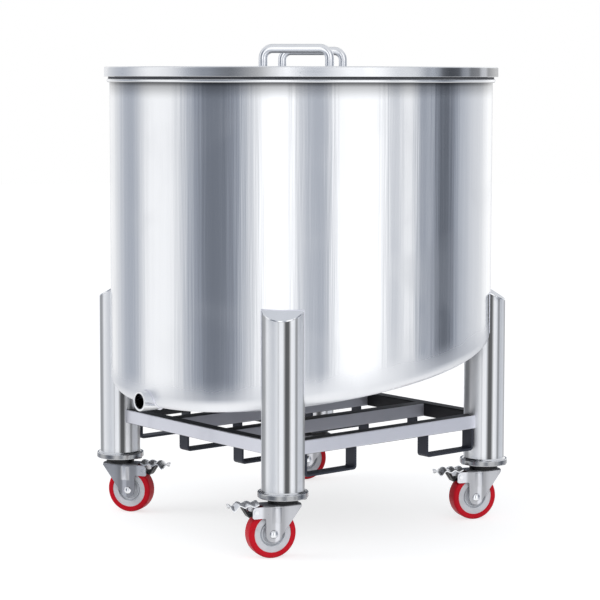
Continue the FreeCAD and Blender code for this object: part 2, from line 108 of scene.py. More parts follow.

# Bands of painted light and shade, laid into the base colour: centre, half width, soft edge,
# and the light that they add or take. The legs' and the lid's are in degrees of azimuth, the
# forks' in millimetres of trail.
LEG_PAINTED_BANDS = {
    "left side": (-103, 6, 12, -0.50),
    "left line": (-51.7, 0.5, 3, -0.20),
    "core": (-28.5, 3, 10, -0.87),
    "right line": (-2, 1, 6, -0.50),
    "right side": (38, 6, 14, -0.50),
}
FORK_PAINTED_BANDS = {
    "wing light": (-14, 6, 10, 0.10),
    "ridge shade": (9, 2, 7, -0.15),
    "ridge light": (19, 2.5, 5, 0.40),
    "leg edge shade": (40, 3, 6, -0.06),
    "ear light": (64, 10, 8, 0.42),
}
LID_PAINTED_BANDS = {
    "left shade": (-55, 3, 9, -0.50),
    "right shade": (24, 18, 14, -0.66),
    "first painted streak": (-0.5, 0.8, 2.4, 0.30),
    "second painted streak": (12, 0.8, 2.6, 0.34),
    "third painted streak": (23, 1.0, 2.8, 0.42),
}

FRAME_PIXELS = 600
RIGHT_ANGLE = math.pi / 2
FULL_TURN = 2 * math.pi


class TankSizes(bpy.types.PropertyGroup):
    """Sizes of the shell, its sloped bottom, the rim and the outlet."""

    radius: FloatProperty(
        name="Tank radius", description="Outside radius of the cylinder",
        default=SHELL_HIGH.x, unit="LENGTH")
    top: FloatProperty(
        name="Tank top", description="Height of the shell's upper edge",
        default=SHELL_HIGH.z, unit="LENGTH")
    wall: FloatProperty(
        name="Wall", description="Thickness of the shell's sheet", default=2.5 * MM, unit="LENGTH")
    bottom: FloatProperty(
        name="Bottom height", description="Height of the bottom's outside at the axis",
        default=0.346, unit="LENGTH")
    slope: FloatProperty(
        name="Bottom slope", description="Rise of the bottom for each unit along Y", default=0.166)
    knuckle: FloatProperty(
        name="Knuckle radius", description="Rounding between shell and bottom",
        default=30 * MM, unit="LENGTH")
    columns: IntProperty(
        name="Columns", description="Steps around the shell", default=288, min=32)
    outlet_wall: FloatProperty(
        name="Outlet wall", description="Thickness of the outlet pipe", default=5 * MM,
        unit="LENGTH")
    weld: FloatProperty(
        name="Weld bead", description="Radius of the weld beads", default=2.0 * MM, unit="LENGTH")


class LidSizes(bpy.types.PropertyGroup):
    """Sizes of the lid and its two bent-rod grips."""

    sheet: FloatProperty(
        name="Lid sheet", description="Thickness of the lid's sheet", default=2 * MM,
        unit="LENGTH")
    edge: FloatProperty(
        name="Edge rounding", description="Rounding of the lid's upper edge", default=3 * MM,
        unit="LENGTH")
    lip_gap: FloatProperty(
        name="Lip gap", description="Space between the lid's lip and the tank's wall",
        default=8.5 * MM, unit="LENGTH")
    rod: FloatProperty(
        name="Grip rod", description="Diameter of the grips' rod", default=19 * MM, unit="LENGTH")
    span: FloatProperty(
        name="Grip span", description="Outside length of a grip", default=159 * MM, unit="LENGTH")
    bend: FloatProperty(
        name="Grip bend", description="Radius of the rod's centre line in its bends",
        default=20 * MM, unit="LENGTH")
    offset: FloatProperty(
        name="Grip offset", description="Distance of each grip from the tank's axis",
        default=207.6 * MM, unit="LENGTH")
    aside: FloatProperty(
        name="Grip aside", description="Shift of both grips along their own length",
        default=8 * MM, unit="LENGTH")


class LegSizes(bpy.types.PropertyGroup):
    """Sizes of the legs, their slanted top plates and foot discs."""

    wall: FloatProperty(
        name="Leg wall", description="Thickness of the leg tubes", default=3 * MM, unit="LENGTH")
    cap_slope: FloatProperty(
        name="Top plate slope", description="Rise of a top plate towards the tank", default=0.55)
    cap_sheet: FloatProperty(
        name="Top plate", description="Thickness of the top plates", default=3 * MM,
        unit="LENGTH")
    lip: FloatProperty(
        name="Lip height", description="Height of a top plate's outermost point",
        default=CAP_LOW.z + 3 * MM, unit="LENGTH")
    foot_round: FloatProperty(
        name="Foot rounding", description="Rounding of the foot discs", default=2 * MM,
        unit="LENGTH")
    foot_weld: FloatProperty(
        name="Foot weld", description="Height and width of the weld above a foot disc",
        default=3.5 * MM, unit="LENGTH")


class FrameSizes(bpy.types.PropertyGroup):
    """Sizes of the beams and the fork straps."""

    wall: FloatProperty(
        name="Beam wall", description="Thickness of the beams", default=2 * MM, unit="LENGTH")
    corner: FloatProperty(
        name="Beam corner", description="Outside rounding of the beams", default=3 * MM,
        unit="LENGTH")
    strap_sheet: FloatProperty(
        name="Strap thickness", description="Thickness of the flat bar", default=5 * MM,
        unit="LENGTH")
    strap_bend: FloatProperty(
        name="Strap bend", description="Outside radius of the strap's bends", default=8 * MM,
        unit="LENGTH")
    strap_edge: FloatProperty(
        name="Strap edge", description="Rounding of the flat bar's edges", default=0.7 * MM,
        unit="LENGTH")
    strap_near: FloatProperty(
        name="Strap start", description="Where the straps start, as a share of the way to a leg",
        default=0.35)
    strap_clear: FloatProperty(
        name="Strap gap", description="Space between the outer straps and the legs",
        default=2.8 * MM, unit="LENGTH")


class CasterSizes(bpy.types.PropertyGroup):
    """Sizes of a caster's wheel and axle, and places on its fork."""

    tyre_radius: FloatProperty(
        name="Wheel radius", description="Outside radius of the tyre",
        default=TYRE_HIGH.z / 2, unit="LENGTH")
    tyre_width: FloatProperty(
        name="Tyre width", description="Width of the tyre", default=31 * MM, unit="LENGTH")
    tyre_depth: FloatProperty(
        name="Tyre thickness", description="Radial thickness of the tyre", default=12 * MM,
        unit="LENGTH")
    tyre_round: FloatProperty(
        name="Tyre shoulder", description="Rounding of the tyre's shoulders", default=5 * MM,
        unit="LENGTH")
    hub_radius: FloatProperty(
        name="Hub radius", description="Outside radius of the hub", default=12 * MM,
        unit="LENGTH")
    hub_width: FloatProperty(
        name="Hub width", description="Length of the hub along the axle", default=36 * MM,
        unit="LENGTH")
    axle_radius: FloatProperty(
        name="Axle radius", description="Radius of the axle", default=5 * MM, unit="LENGTH")
    fork_half: FloatProperty(
        name="Fork half width", description="Half the outside width of the fork",
        default=22 * MM, unit="LENGTH")
    ridge_trail: FloatProperty(
        name="Ridge place", description="Distance of the fork's ridges from the swivel axis",
        default=21 * MM, unit="LENGTH")
    toe_height: FloatProperty(
        name="Ridge toe height", description="Height of the middle of the ridges' toes",
        default=72 * MM, unit="LENGTH")


class TankFinishes(bpy.types.PropertyGroup):
    """Colours of the metal, the tyres and the other parts."""

    steel: FloatVectorProperty(
        name="Stainless steel", description="Colour of the polished sheet and tube",
        default=(0.87, 0.885, 0.915), subtype="COLOR", min=0, max=1)
    leg_steel: FloatVectorProperty(
        name="Leg steel", description="Colour of the satin leg tubes",
        default=(0.96, 0.975, 1.0), subtype="COLOR", min=0, max=1)
    frame_steel: FloatVectorProperty(
        name="Frame steel", description="Colour of the matt beams",
        default=(0.84, 0.85, 0.92), subtype="COLOR", min=0, max=1)
    # Painted shade: a darker copy of the beams' steel
    shaded_cross_steel: FloatVectorProperty(
        name="Cross bar steel", description="Colour of the two bars inside the frame",
        default=(0.50, 0.51, 0.57), subtype="COLOR", min=0, max=1)
    # Painted shade: steel made near black
    shaded_strap_steel: FloatVectorProperty(
        name="Strap steel", description="Colour of the dark fork straps",
        default=(0.040, 0.045, 0.064), subtype="COLOR", min=0, max=1)
    caster_steel: FloatVectorProperty(
        name="Caster steel", description="Colour of the pressed forks and pedals",
        default=(0.73, 0.74, 0.78), subtype="COLOR", min=0, max=1)
    tyre: FloatVectorProperty(
        name="Tyre", description="Colour of the cast tyres", default=(0.78, 0.002, 0.018),
        subtype="COLOR", min=0, max=1)
    core: FloatVectorProperty(
        name="Wheel core", description="Colour of the moulded wheel centres",
        default=(0.93, 0.95, 0.98), subtype="COLOR", min=0, max=1)
    black: FloatVectorProperty(
        name="Black", description="Colour of the dark plates and levers",
        default=(0.012, 0.012, 0.014), subtype="COLOR", min=0, max=1)
    gasket: FloatVectorProperty(
        name="Gasket", description="Colour of the seal below the lid",
        default=(0.12, 0.125, 0.14), subtype="COLOR", min=0, max=1)


class StageSettings(bpy.types.PropertyGroup):
    """Camera, floor and light."""

    azimuth: FloatProperty(
        name="Azimuth", description="Direction of the camera round the tank",
        default=math.radians(50.048), subtype="ANGLE")
    pitch: FloatProperty(
        name="Pitch", description="Angle at which the camera looks down",
        default=math.radians(4.938), subtype="ANGLE")
    distance: FloatProperty(
        name="Distance", description="Distance from the camera to the point it looks at",
        default=4.5045, unit="LENGTH")
    aim: FloatProperty(
        name="Aim height", description="Height of the point that the camera looks at",
        default=0.58814, unit="LENGTH")
    aside: FloatProperty(
        name="Sideways offset", description="Offset of the camera to its right",
        default=-0.001813, unit="LENGTH")
    lens: FloatProperty(
        name="Focal length", description="Focal length in pixels of the 600 pixel frame",
        default=2031.5)
    shift: FloatProperty(
        name="Vertical shift", description="Shift of the lens that keeps uprights parallel",
        default=-0.08)
    roll: FloatProperty(
        name="Roll", description="Turn of the camera about its line of sight",
        default=math.radians(0.092), subtype="ANGLE")
    floor_light: FloatProperty(
        name="Floor light", description="Brightness that the floor has by itself", default=0.69)
    ambient: FloatProperty(
        name="Ambient light", description="Brightness of the surroundings on matt surfaces",
        default=0.72)
    key_power: FloatProperty(
        name="Key light", description="Power of the large lamp on the left", default=55,
        subtype="POWER")
    fill_power: FloatProperty(
        name="Fill light", description="Power of the large lamp on the right", default=28,
        subtype="POWER")
    mirror_lamps: BoolProperty(
        name="Lamps show in metal", description="Whether the two lamps show in the gloss",
        default=False)


def grid_of(x, y, z):
    """A grid of points from three coordinates, each spread over the rows and columns."""
    return np.stack(np.broadcast_arrays(x, y, z), axis=-1)


def surface(grid, wrap_rows=False, wrap_columns=False):
    """Points and quads of a grid: each quad joins four neighbouring points."""
    rows, columns = grid.shape[:2]
    index = np.arange(rows * columns).reshape(rows, columns)
    if wrap_rows:
        index = np.vstack([index, index[:1]])
    if wrap_columns:
        index = np.hstack([index, index[:, :1]])
    quads = np.stack([index[:-1, :-1], index[:-1, 1:], index[1:, 1:], index[1:, :-1]], axis=-1)
    return grid.reshape(-1, 3), quads.reshape(-1, 4)


def unit(vectors):
    """Vectors divided by their length."""
    return vectors / np.linalg.norm(vectors, axis=-1, keepdims=True)


def arc(radius, angle, centre=0.0):
    """Points of a circle about a centre on the first axis, by cosine and sine."""
    return np.stack([centre + radius * np.cos(angle), radius * np.sin(angle)], axis=-1)


def circle(radius, columns):
    """Points of a whole circle at equal angles."""
    return arc(radius, np.arange(columns) * (FULL_TURN / columns))


def rounded(points, radii, steps):
    """Closed outline with its corners turned into arcs.

    An arc starts radius / tan(half the corner's angle) before the corner, its centre
    lies radius / sin(half the angle) along the bisector, and its points are the
    spherical interpolation between the two tangent points about that centre.
    """
    corners = np.asarray(points, float)
    radii = np.broadcast_to(np.asarray(radii, float), len(corners))[:, None]
    before = unit(np.roll(corners, 1, axis=0) - corners)
    after = unit(np.roll(corners, -1, axis=0) - corners)
    cosine = np.clip((before * after).sum(axis=1, keepdims=True), -0.9999, 0.9999)
    half = np.arccos(cosine) / 2
    start = corners + before * radii / np.tan(half)
    end = corners + after * radii / np.tan(half)
    centre = corners + unit(before + after + 1e-9) * radii / np.sin(half)
    turn = (math.pi - 2 * half)[:, None]
    share = np.linspace(0, 1, steps + 1)[None, :, None]
    towards_start = (start - centre)[:, None]
    towards_end = (end - centre)[:, None]
    arcs = (np.sin((1 - share) * turn) * towards_start
            + np.sin(share * turn) * towards_end) / np.sin(turn)
    return (centre[:, None] + arcs).reshape(-1, corners.shape[1])


def revolved(profile, columns, closed=True):
    """Surface of revolution: each (radius, height) point is turned about Z by equal steps."""
    radius, height = np.hsplit(np.asarray(profile, float), 2)
    x, y = circle(1, columns).T
    return surface(grid_of(radius * x, radius * y, height), wrap_rows=closed, wrap_columns=True)


def apart(path):
    """The path's points without those that lie on the point before them."""
    steps = np.linalg.norm(np.diff(path, axis=0), axis=1)
    return path[np.concatenate([[True], steps > 1e-6])]


def with_poles(grid):
    """The grid with a first and a last row drawn together at their middles."""
    first = np.broadcast_to(grid[:1].mean(axis=1, keepdims=True), grid[:1].shape)
    last = np.broadcast_to(grid[-1:].mean(axis=1, keepdims=True), grid[-1:].shape)
    return np.concatenate([first, grid, last])


def swept(path, section):
    """A section carried along a path in a plane.

    Path points are (u, w). Section points are (offset along the path's normal,
    offset out of the plane). The tangent is the mean of the neighbouring steps, and
    the result's points are (u, out of plane, w) with closed ends.
    """
    path = np.asarray(path, float)
    steps = unit(np.diff(path, axis=0))
    tangent = unit(np.concatenate([steps[:1], steps[:-1] + steps[1:], steps[-1:]]))
    normal = np.stack([-tangent[:, 1], tangent[:, 0]], axis=1)
    inside = path[:, None] + normal[:, None] * section[None, :, :1]
    grid = grid_of(inside[..., 0], section[:, 1], inside[..., 1])
    return surface(with_poles(grid), wrap_columns=True)


def bead_grid(path, radius, side, out):
    """Circles about the points of a path in space, spanned by two directions at each point."""
    ring = circle(radius, BEAD_COLUMNS)
    return path[:, None] + ring[None, :, :1] * side[:, None] + ring[None, :, 1:] * out[:, None]


def closed_bead(path, radius):
    """A round weld bead along a closed path.

    Its circles lie across the path's tangent, spanned by the tangent's cross products
    with the direction that points from the path's middle to each point.
    """
    tangent = unit(np.roll(path, -1, axis=0) - np.roll(path, 1, axis=0))
    side = unit(np.cross(tangent, path - path.mean(axis=0) + 1e-7))
    grid = bead_grid(path, radius, side, np.cross(side, tangent))
    return surface(grid, wrap_rows=True, wrap_columns=True)


def turned(patch, angle, place=(0, 0, 0)):
    """A patch turned about Z by an angle and then moved."""
    points, quads = patch
    cos, sin = math.cos(angle), math.sin(angle)
    turn = np.array([[cos, sin, 0], [-sin, cos, 0], [0, 0, 1]])
    return points @ turn + np.asarray(place), quads


def swapped(patch, order):
    """A patch with its coordinates in another order, as (0, 2, 1) for (x, z, y)."""
    points, quads = patch
    return points[:, list(order)], quads


def linked(name, data):
    """An object in the scene with its data."""
    made = bpy.data.objects.new(name, data)
    bpy.context.scene.collection.objects.link(made)
    return made


def drawn(name, patches):
    """One object from patches, with doubles merged and faces turned outwards."""
    points, faces, count = [], [], 0
    for patch_points, quads in patches:
        points.append(patch_points)
        faces.append(quads + count)
        count += len(patch_points)
    mesh = bpy.data.meshes.new(name)
    mesh.from_pydata(np.vstack(points).tolist(), [], np.vstack(faces).tolist())
    merge(mesh)
    return linked(name, mesh)


def piece(name, patches, body, finish, replaced=(), wall=0.0, bevel=0.0, segments=2):
    """A piece of the object: its patches, given a wall's thickness and rounded edges."""
    made = drawn(name, patches)
    if wall:
        sheet = made.modifiers.new("Wall", "SOLIDIFY")
        sheet.thickness = wall
        sheet.offset = -1
        sheet.use_even_offset = True
    dress(made, finish, bevel, segments)
    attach(made, body)
    if replaced:
        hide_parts(*replaced)
    return made


def merge(mesh, flat=0.0):
    """Joins a mesh's doubled points, drops faces of no size and turns its faces outwards.

    With a flat angle, faces that meet at a smaller angle than it are joined too.
    """
    shell = bmesh.new()
    shell.from_mesh(mesh)
    bmesh.ops.remove_doubles(shell, verts=shell.verts, dist=1e-6)
    bmesh.ops.dissolve_degenerate(shell, dist=1e-7, edges=shell.edges)
    if flat:
        bmesh.ops.dissolve_limit(shell, angle_limit=flat, verts=shell.verts, edges=shell.edges)
    bmesh.ops.recalc_face_normals(shell, faces=shell.faces)
    shell.to_mesh(mesh)
    shell.free()
    mesh.update()


def dress(made, finish, bevel, segments=2):
    """An object's finish, its small rounded edges and its smooth shading."""
    made.data.materials.clear()
    made.data.materials.append(finish)
    made.data.polygons.foreach_set("use_smooth", [True] * len(made.data.polygons))
    if bevel:
        edges = made.modifiers.new("Edges", "BEVEL")
        edges.width = bevel
        edges.segments = segments
        edges.limit_method = "ANGLE"
        edges.angle_limit = math.radians(40)
        edges.use_clamp_overlap = True
    shade(made)


def shade(made):
    """Smooth shading that large faces lead."""
    shading = made.modifiers.new("Shading", "WEIGHTED_NORMAL")
    shading.keep_sharp = True
    shading.weight = 80


def copied(node, name, body, finish, bevel):
    """The frame's own solid as a merged mesh with rounded edges, in place of its node."""
    mesh = frame["nodes"][node].data.copy()
    mesh.name = name
    merge(mesh, flat=math.radians(0.4))
    made = linked(name, mesh)
    dress(made, finish, bevel)
    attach(made, body)
    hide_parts(node)
    return made


def applied(made):
    """Turns an object's live modifiers into plain mesh."""
    graph = bpy.context.evaluated_depsgraph_get()
    mesh = bpy.data.meshes.new_from_object(made.evaluated_get(graph))
    made.modifiers.clear()
    made.data = mesh


def feed(tree, target, value):
    """Gives an input a constant, or links it to another node's output."""
    if isinstance(value, bpy.types.NodeSocket):
        tree.links.new(value, target)
    else:
        target.default_value = value


def new_group(name, inputs, outputs):
    """A shader node group with named sockets, and its input and output nodes."""
    group = bpy.data.node_groups.new(name, "ShaderNodeTree")
    for title, kind, default in inputs:
        made = group.interface.new_socket(title, in_out="INPUT", socket_type=kind)
        if default is not None:
            made.default_value = default
    for title, kind in outputs:
        group.interface.new_socket(title, in_out="OUTPUT", socket_type=kind)
    return group, group.nodes.new("NodeGroupInput"), group.nodes.new("NodeGroupOutput")


def completed(group, result, **values):
    """The group, with its outputs linked to sockets by name."""
    for title, value in values.items():
        group.links.new(value, result.inputs[title])
    return group


def calculated(tree, operation, *values):
    """A Math node's result. Values are sockets or numbers."""
    node = tree.nodes.new("ShaderNodeMath")
    node.operation = operation
    for target, value in zip(node.inputs, values):
        feed(tree, target, value)
    return node.outputs[0]


def joined(tree, *parts):
    """A vector from three sockets."""
    node = tree.nodes.new("ShaderNodeCombineXYZ")
    for target, part in zip(node.inputs, parts):
        tree.links.new(part, target)
    return node.outputs[0]


def split(tree, vector):
    """A vector's three parts."""
    node = tree.nodes.new("ShaderNodeSeparateXYZ")
    tree.links.new(vector, node.inputs[0])
    return node.outputs


def noise(tree, vector, detail, roughness=0.5):
    """Noise in three dimensions, from 0 to 1, with patches about one unit wide."""
    node = tree.nodes.new("ShaderNodeTexNoise")
    node.inputs["Scale"].default_value = 1.0
    node.inputs["Detail"].default_value = detail
    node.inputs["Roughness"].default_value = roughness
    tree.links.new(vector, node.inputs["Vector"])
    return node.outputs["Fac"]


def spread(tree, value, low, high, to_low, to_high):
    """A value mapped smoothly from one range to another."""
    node = tree.nodes.new("ShaderNodeMapRange")
    node.interpolation_type = "SMOOTHSTEP"
    for title, number in (("Value", value), ("From Min", low), ("From Max", high),
                          ("To Min", to_low), ("To Max", to_high)):
        feed(tree, node.inputs[title], number)
    return node.outputs["Result"]


def from_centre(group, source):
    """Plan coordinates about the group's centre inputs, and height."""
    x, y, z = split(group, source.outputs["Vector"])
    return (calculated(group, "SUBTRACT", x, source.outputs["Centre X"]),
            calculated(group, "SUBTRACT", y, source.outputs["Centre Y"]), z)


def group_round_coordinates():
    """Angle about an upright axis in radians and in degrees, and height."""
    group, source, result = new_group(
        "Around an axis",
        [("Vector", "NodeSocketVector", None), ("Centre X", "NodeSocketFloat", 0.0),
         ("Centre Y", "NodeSocketFloat", 0.0)],
        [("Angle", "NodeSocketFloat"), ("Azimuth", "NodeSocketFloat"),
         ("Height", "NodeSocketFloat")])
    x, y, height = from_centre(group, source)
    angle = calculated(group, "ARCTAN2", y, x)
    return completed(group, result, Angle=angle, Height=height,
                     Azimuth=calculated(group, "DEGREES", angle))


def group_trail():
    """Distance from an upright axis along a level heading, in millimetres."""
    group, source, result = new_group(
        "Along a heading",
        [("Vector", "NodeSocketVector", None), ("Centre X", "NodeSocketFloat", 0.0),
         ("Centre Y", "NodeSocketFloat", 0.0), ("Ahead X", "NodeSocketFloat", 1.0),
         ("Ahead Y", "NodeSocketFloat", 0.0)],
        [("Trail", "NodeSocketFloat")])
    x, y, _ = from_centre(group, source)
    first = calculated(group, "MULTIPLY", x, source.outputs["Ahead X"])
    trail = calculated(group, "MULTIPLY_ADD", y, source.outputs["Ahead Y"], first)
    return completed(group, result, Trail=calculated(group, "DIVIDE", trail, MM))


def group_painted_facing_shade():
    """Painted shade for faces turned up and for faces turned down, and the share of upright ones.
    """
    group, source, result = new_group(
        "Facing",
        [("Normal", "NodeSocketVector", None), ("Up", "NodeSocketFloat", 1.0),
         ("Down", "NodeSocketFloat", 1.0)],
        [("Tint", "NodeSocketFloat"), ("Upright", "NodeSocketFloat")])
    _, _, tilt = split(group, source.outputs["Normal"])
    upward = spread(group, tilt, 0.35, 0.85, 1.0, source.outputs["Up"])
    downward = spread(group, tilt, -0.35, -0.85, 1.0, source.outputs["Down"])
    level = calculated(group, "ABSOLUTE", tilt)
    return completed(group, result, Tint=calculated(group, "MULTIPLY", upward, downward),
                     Upright=spread(group, level, 0.2, 0.6, 1.0, 0.0))


def group_painted_inside_shade():
    """Painted shade: a tint that is lower inside a square about the origin than on its outer
    faces.

    The distance from the middle is the larger one of the two plan coordinates' sizes.
    """
    group, source, result = new_group(
        "Painted shade inside a square",
        [("Vector", "NodeSocketVector", None), ("Edge", "NodeSocketFloat", 0.3),
         ("Inside", "NodeSocketFloat", 0.2)],
        [("Tint", "NodeSocketFloat")])
    x, y, _ = split(group, source.outputs["Vector"])
    reach = calculated(group, "MAXIMUM", calculated(group, "ABSOLUTE", x),
                       calculated(group, "ABSOLUTE", y))
    low = calculated(group, "SUBTRACT", source.outputs["Edge"], MM)
    tint = spread(group, reach, low, source.outputs["Edge"], source.outputs["Inside"], 1.0)
    return completed(group, result, Tint=tint)


def group_streaks():
    """Polishing streaks that run up a round surface: a tint, a gloss and a relief.

    Noise on a cylinder of unit radius: fine along the angle and slow along the height.
    """
    group, source, result = new_group(
        "Polishing streaks",
        [("Angle", "NodeSocketFloat", 0.0), ("Height", "NodeSocketFloat", 0.0),
         ("Fineness", "NodeSocketFloat", 40.0), ("Length", "NodeSocketFloat", 0.5),
         ("Tint", "NodeSocketFloat", 0.05), ("Gloss", "NodeSocketFloat", 0.05)],
        [("Tint", "NodeSocketFloat"), ("Gloss", "NodeSocketFloat"),
         ("Relief", "NodeSocketFloat")])
    around = source.outputs["Fineness"]
    x = calculated(group, "MULTIPLY", calculated(group, "COSINE", source.outputs["Angle"]), around)
    y = calculated(group, "MULTIPLY", calculated(group, "SINE", source.outputs["Angle"]), around)
    z = calculated(group, "DIVIDE", source.outputs["Height"], source.outputs["Length"])
    value = noise(group, joined(group, x, y, z), 3.0, 0.6)
    wider = [calculated(group, "MULTIPLY", part, share)
             for part, share in ((x, 0.15), (y, 0.15), (z, 0.5))]
    broad = noise(group, joined(group, *wider), 1.0)
    centred = calculated(group, "SUBTRACT", value, 0.5)
    tint = calculated(group, "MULTIPLY_ADD", centred, source.outputs["Tint"], 1.0)
    both = calculated(group, "ADD", centred, calculated(group, "SUBTRACT", broad, 0.5))
    gloss = calculated(group, "MULTIPLY", both, source.outputs["Gloss"])
    relief = calculated(group, "ADD", calculated(group, "MULTIPLY", value, 0.4), broad)
    return completed(group, result, Tint=tint, Gloss=gloss, Relief=relief)


def group_grain():
    """Brushed or moulded grain: noise in stretched Object coordinates."""
    group, source, result = new_group(
        "Surface grain",
        [("Vector", "NodeSocketVector", None), ("Stretch", "NodeSocketVector", None),
         ("Tint", "NodeSocketFloat", 0.05), ("Gloss", "NodeSocketFloat", 0.1)],
        [("Tint", "NodeSocketFloat"), ("Gloss", "NodeSocketFloat"),
         ("Relief", "NodeSocketFloat")])
    scaled = group.nodes.new("ShaderNodeVectorMath")
    scaled.operation = "MULTIPLY"
    group.links.new(source.outputs["Vector"], scaled.inputs[0])
    group.links.new(source.outputs["Stretch"], scaled.inputs[1])
    value = noise(group, scaled.outputs[0], 4.0, 0.65)
    centred = calculated(group, "SUBTRACT", value, 0.5)
    tint = calculated(group, "MULTIPLY_ADD", centred, source.outputs["Tint"], 1.0)
    gloss = calculated(group, "MULTIPLY", centred, source.outputs["Gloss"])
    return completed(group, result, Tint=tint, Gloss=gloss, Relief=value)


def group_handling():
    """Soft patches from wiping and handling, which change the gloss a little."""
    group, source, result = new_group(
        "Handling patches",
        [("Vector", "NodeSocketVector", None), ("Scale", "NodeSocketFloat", 6.0),
         ("Gloss", "NodeSocketFloat", 0.05), ("Tint", "NodeSocketFloat", 0.03)],
        [("Gloss", "NodeSocketFloat"), ("Tint", "NodeSocketFloat")])
    node = group.nodes.new("ShaderNodeTexNoise")
    node.inputs["Detail"].default_value = 3.0
    node.inputs["Distortion"].default_value = 0.6
    group.links.new(source.outputs["Vector"], node.inputs["Vector"])
    group.links.new(source.outputs["Scale"], node.inputs["Scale"])
    patch = spread(group, node.outputs["Fac"], 0.42, 0.68, 0.0, 1.0)
    gloss = calculated(group, "MULTIPLY", patch, source.outputs["Gloss"])
    darker = calculated(group, "MULTIPLY", patch, source.outputs["Tint"])
    return completed(group, result, Gloss=gloss, Tint=calculated(group, "SUBTRACT", 1.0, darker))


def group_band():
    """One band, light or dark, round a centre: a smooth step on both sides.

    The distance from the centre wraps at 180, so that degrees go round without a seam.
    """
    group, source, result = new_group(
        "Upright band",
        [("Place", "NodeSocketFloat", 0.0), ("Centre", "NodeSocketFloat", 0.0),
         ("Half width", "NodeSocketFloat", 10.0), ("Soft edge", "NodeSocketFloat", 5.0),
         ("Light", "NodeSocketFloat", 0.5)],
        [("Light", "NodeSocketFloat")])
    away = calculated(group, "SUBTRACT", source.outputs["Place"], source.outputs["Centre"])
    wrapped = calculated(group, "WRAP", away, 180.0, -180.0)
    distance = calculated(group, "ABSOLUTE", wrapped)
    edge = calculated(group, "ADD", source.outputs["Half width"], source.outputs["Soft edge"])
    level = spread(group, distance, source.outputs["Half width"], edge, 1.0, 0.0)
    light = calculated(group, "MULTIPLY", level, source.outputs["Light"])
    return completed(group, result, Light=light)


def banded(tree, group, place, base, bands):
    """A base level plus the part of each band, at a place in the bands' own unit."""
    total = base
    for centre, half, soft, power in bands.values():
        part = placed(tree, group, Place=place, Centre=centre, Half_width=half,
                      Soft_edge=soft, Light=power)["Light"]
        total = calculated(tree, "ADD", part, total)
    return total


def mixed(tree, factor, first, second):
    """first * (1 - factor) + second * factor, for sockets or numbers."""
    node = tree.nodes.new("ShaderNodeMix")
    node.data_type = "FLOAT"
    for place, value in ((0, factor), (2, first), (3, second)):
        feed(tree, node.inputs[place], value)
    return node.outputs[0]


def placed(tree, group, **values):
    """A node group in a tree. Values are sockets or constants, by input name."""
    node = tree.nodes.new("ShaderNodeGroup")
    node.node_tree = group
    for title, value in values.items():
        feed(tree, node.inputs[title.replace("_", " ")], value)
    return node.outputs


def new_finish(name, roughness, metallic):
    """A material with its shader's constants set, its tree, place and own normal."""
    finish = bpy.data.materials.new(name)
    finish.use_nodes = True
    tree = finish.node_tree
    shader = tree.nodes["Principled BSDF"]
    shader.inputs["Roughness"].default_value = roughness
    shader.inputs["Metallic"].default_value = metallic
    coordinates = tree.nodes.new("ShaderNodeTexCoord").outputs
    return finish, tree, shader, coordinates["Object"], coordinates["Normal"]


def coloured(tree, shader, colour, *tints):
    """Base Color as a colour times each tint."""
    factor = tints[0]
    for tint in tints[1:]:
        factor = calculated(tree, "MULTIPLY", factor, tint)
    scaled = tree.nodes.new("ShaderNodeVectorMath")
    scaled.operation = "SCALE"
    scaled.inputs[0].default_value = tuple(colour)
    tree.links.new(factor, scaled.inputs["Scale"])
    tree.links.new(scaled.outputs[0], shader.inputs["Base Color"])


def roughened(tree, shader, *changes):
    """Roughness as the shader's own value plus each change, kept between 0.02 and 1."""
    value = shader.inputs["Roughness"].default_value
    for change in changes:
        value = calculated(tree, "ADD", value, change)
    kept = calculated(tree, "MAXIMUM", calculated(tree, "MINIMUM", value, 1.0), 0.02)
    tree.links.new(kept, shader.inputs["Roughness"])


def embossed(tree, shader, relief, distance):
    """A relief of a depth in metres that tilts the surface's normal."""
    node = tree.nodes.new("ShaderNodeBump")
    node.inputs["Distance"].default_value = distance
    node.inputs["Strength"].default_value = 1.0
    tree.links.new(relief, node.inputs["Height"])
    tree.links.new(node.outputs["Normal"], shader.inputs["Normal"])


def tank_steel(groups, colour):
    """Polished sheet: streaks up the wall, and painted shade below the rim and on the underside.

    The wall is duller in a zone above the bottom's edge, measured from the sloped plane.
    """
    sizes = bpy.context.scene.tank_sizes
    finish, tree, shader, place, _ = new_finish("tank_skin_steel", 0.17, 1.0)
    around = placed(tree, groups["round"], Vector=place)
    streaks = placed(tree, groups["streaks"], Angle=around["Angle"], Height=around["Height"],
                     Fineness=26, Length=0.9, Tint=0.05, Gloss=0.06)
    patches = placed(tree, groups["handling"], Vector=place, Scale=5.0, Gloss=0.05, Tint=0.02)
    # Painted shade below the rim, with a thin darker line right under it
    shade = spread(tree, around["Height"], RIM_LOW.z - RIM_SHADE, RIM_LOW.z, 1.0, 0.45)
    line = spread(tree, around["Height"], RIM_LOW.z - RIM_SHADE / 4, RIM_LOW.z, 1.0, 0.35)
    _, y, _ = split(tree, place)
    plane = calculated(tree, "MULTIPLY_ADD", y, sizes.slope, sizes.bottom)
    above = calculated(tree, "SUBTRACT", around["Height"], plane)
    # Painted shade: the bottom plate's colour falls to near black
    under = spread(tree, above, 0.5 * MM, 1.5 * MM, 0.06, 1.0)
    dull = spread(tree, above, DULL_ZONE, sizes.knuckle / 2, 0.0, 0.26)
    coloured(tree, shader, colour, streaks["Tint"], patches["Tint"], shade, line, under)
    roughened(tree, shader, streaks["Gloss"], patches["Gloss"], dull)
    embossed(tree, shader, streaks["Relief"], 0.0009)
    return finish


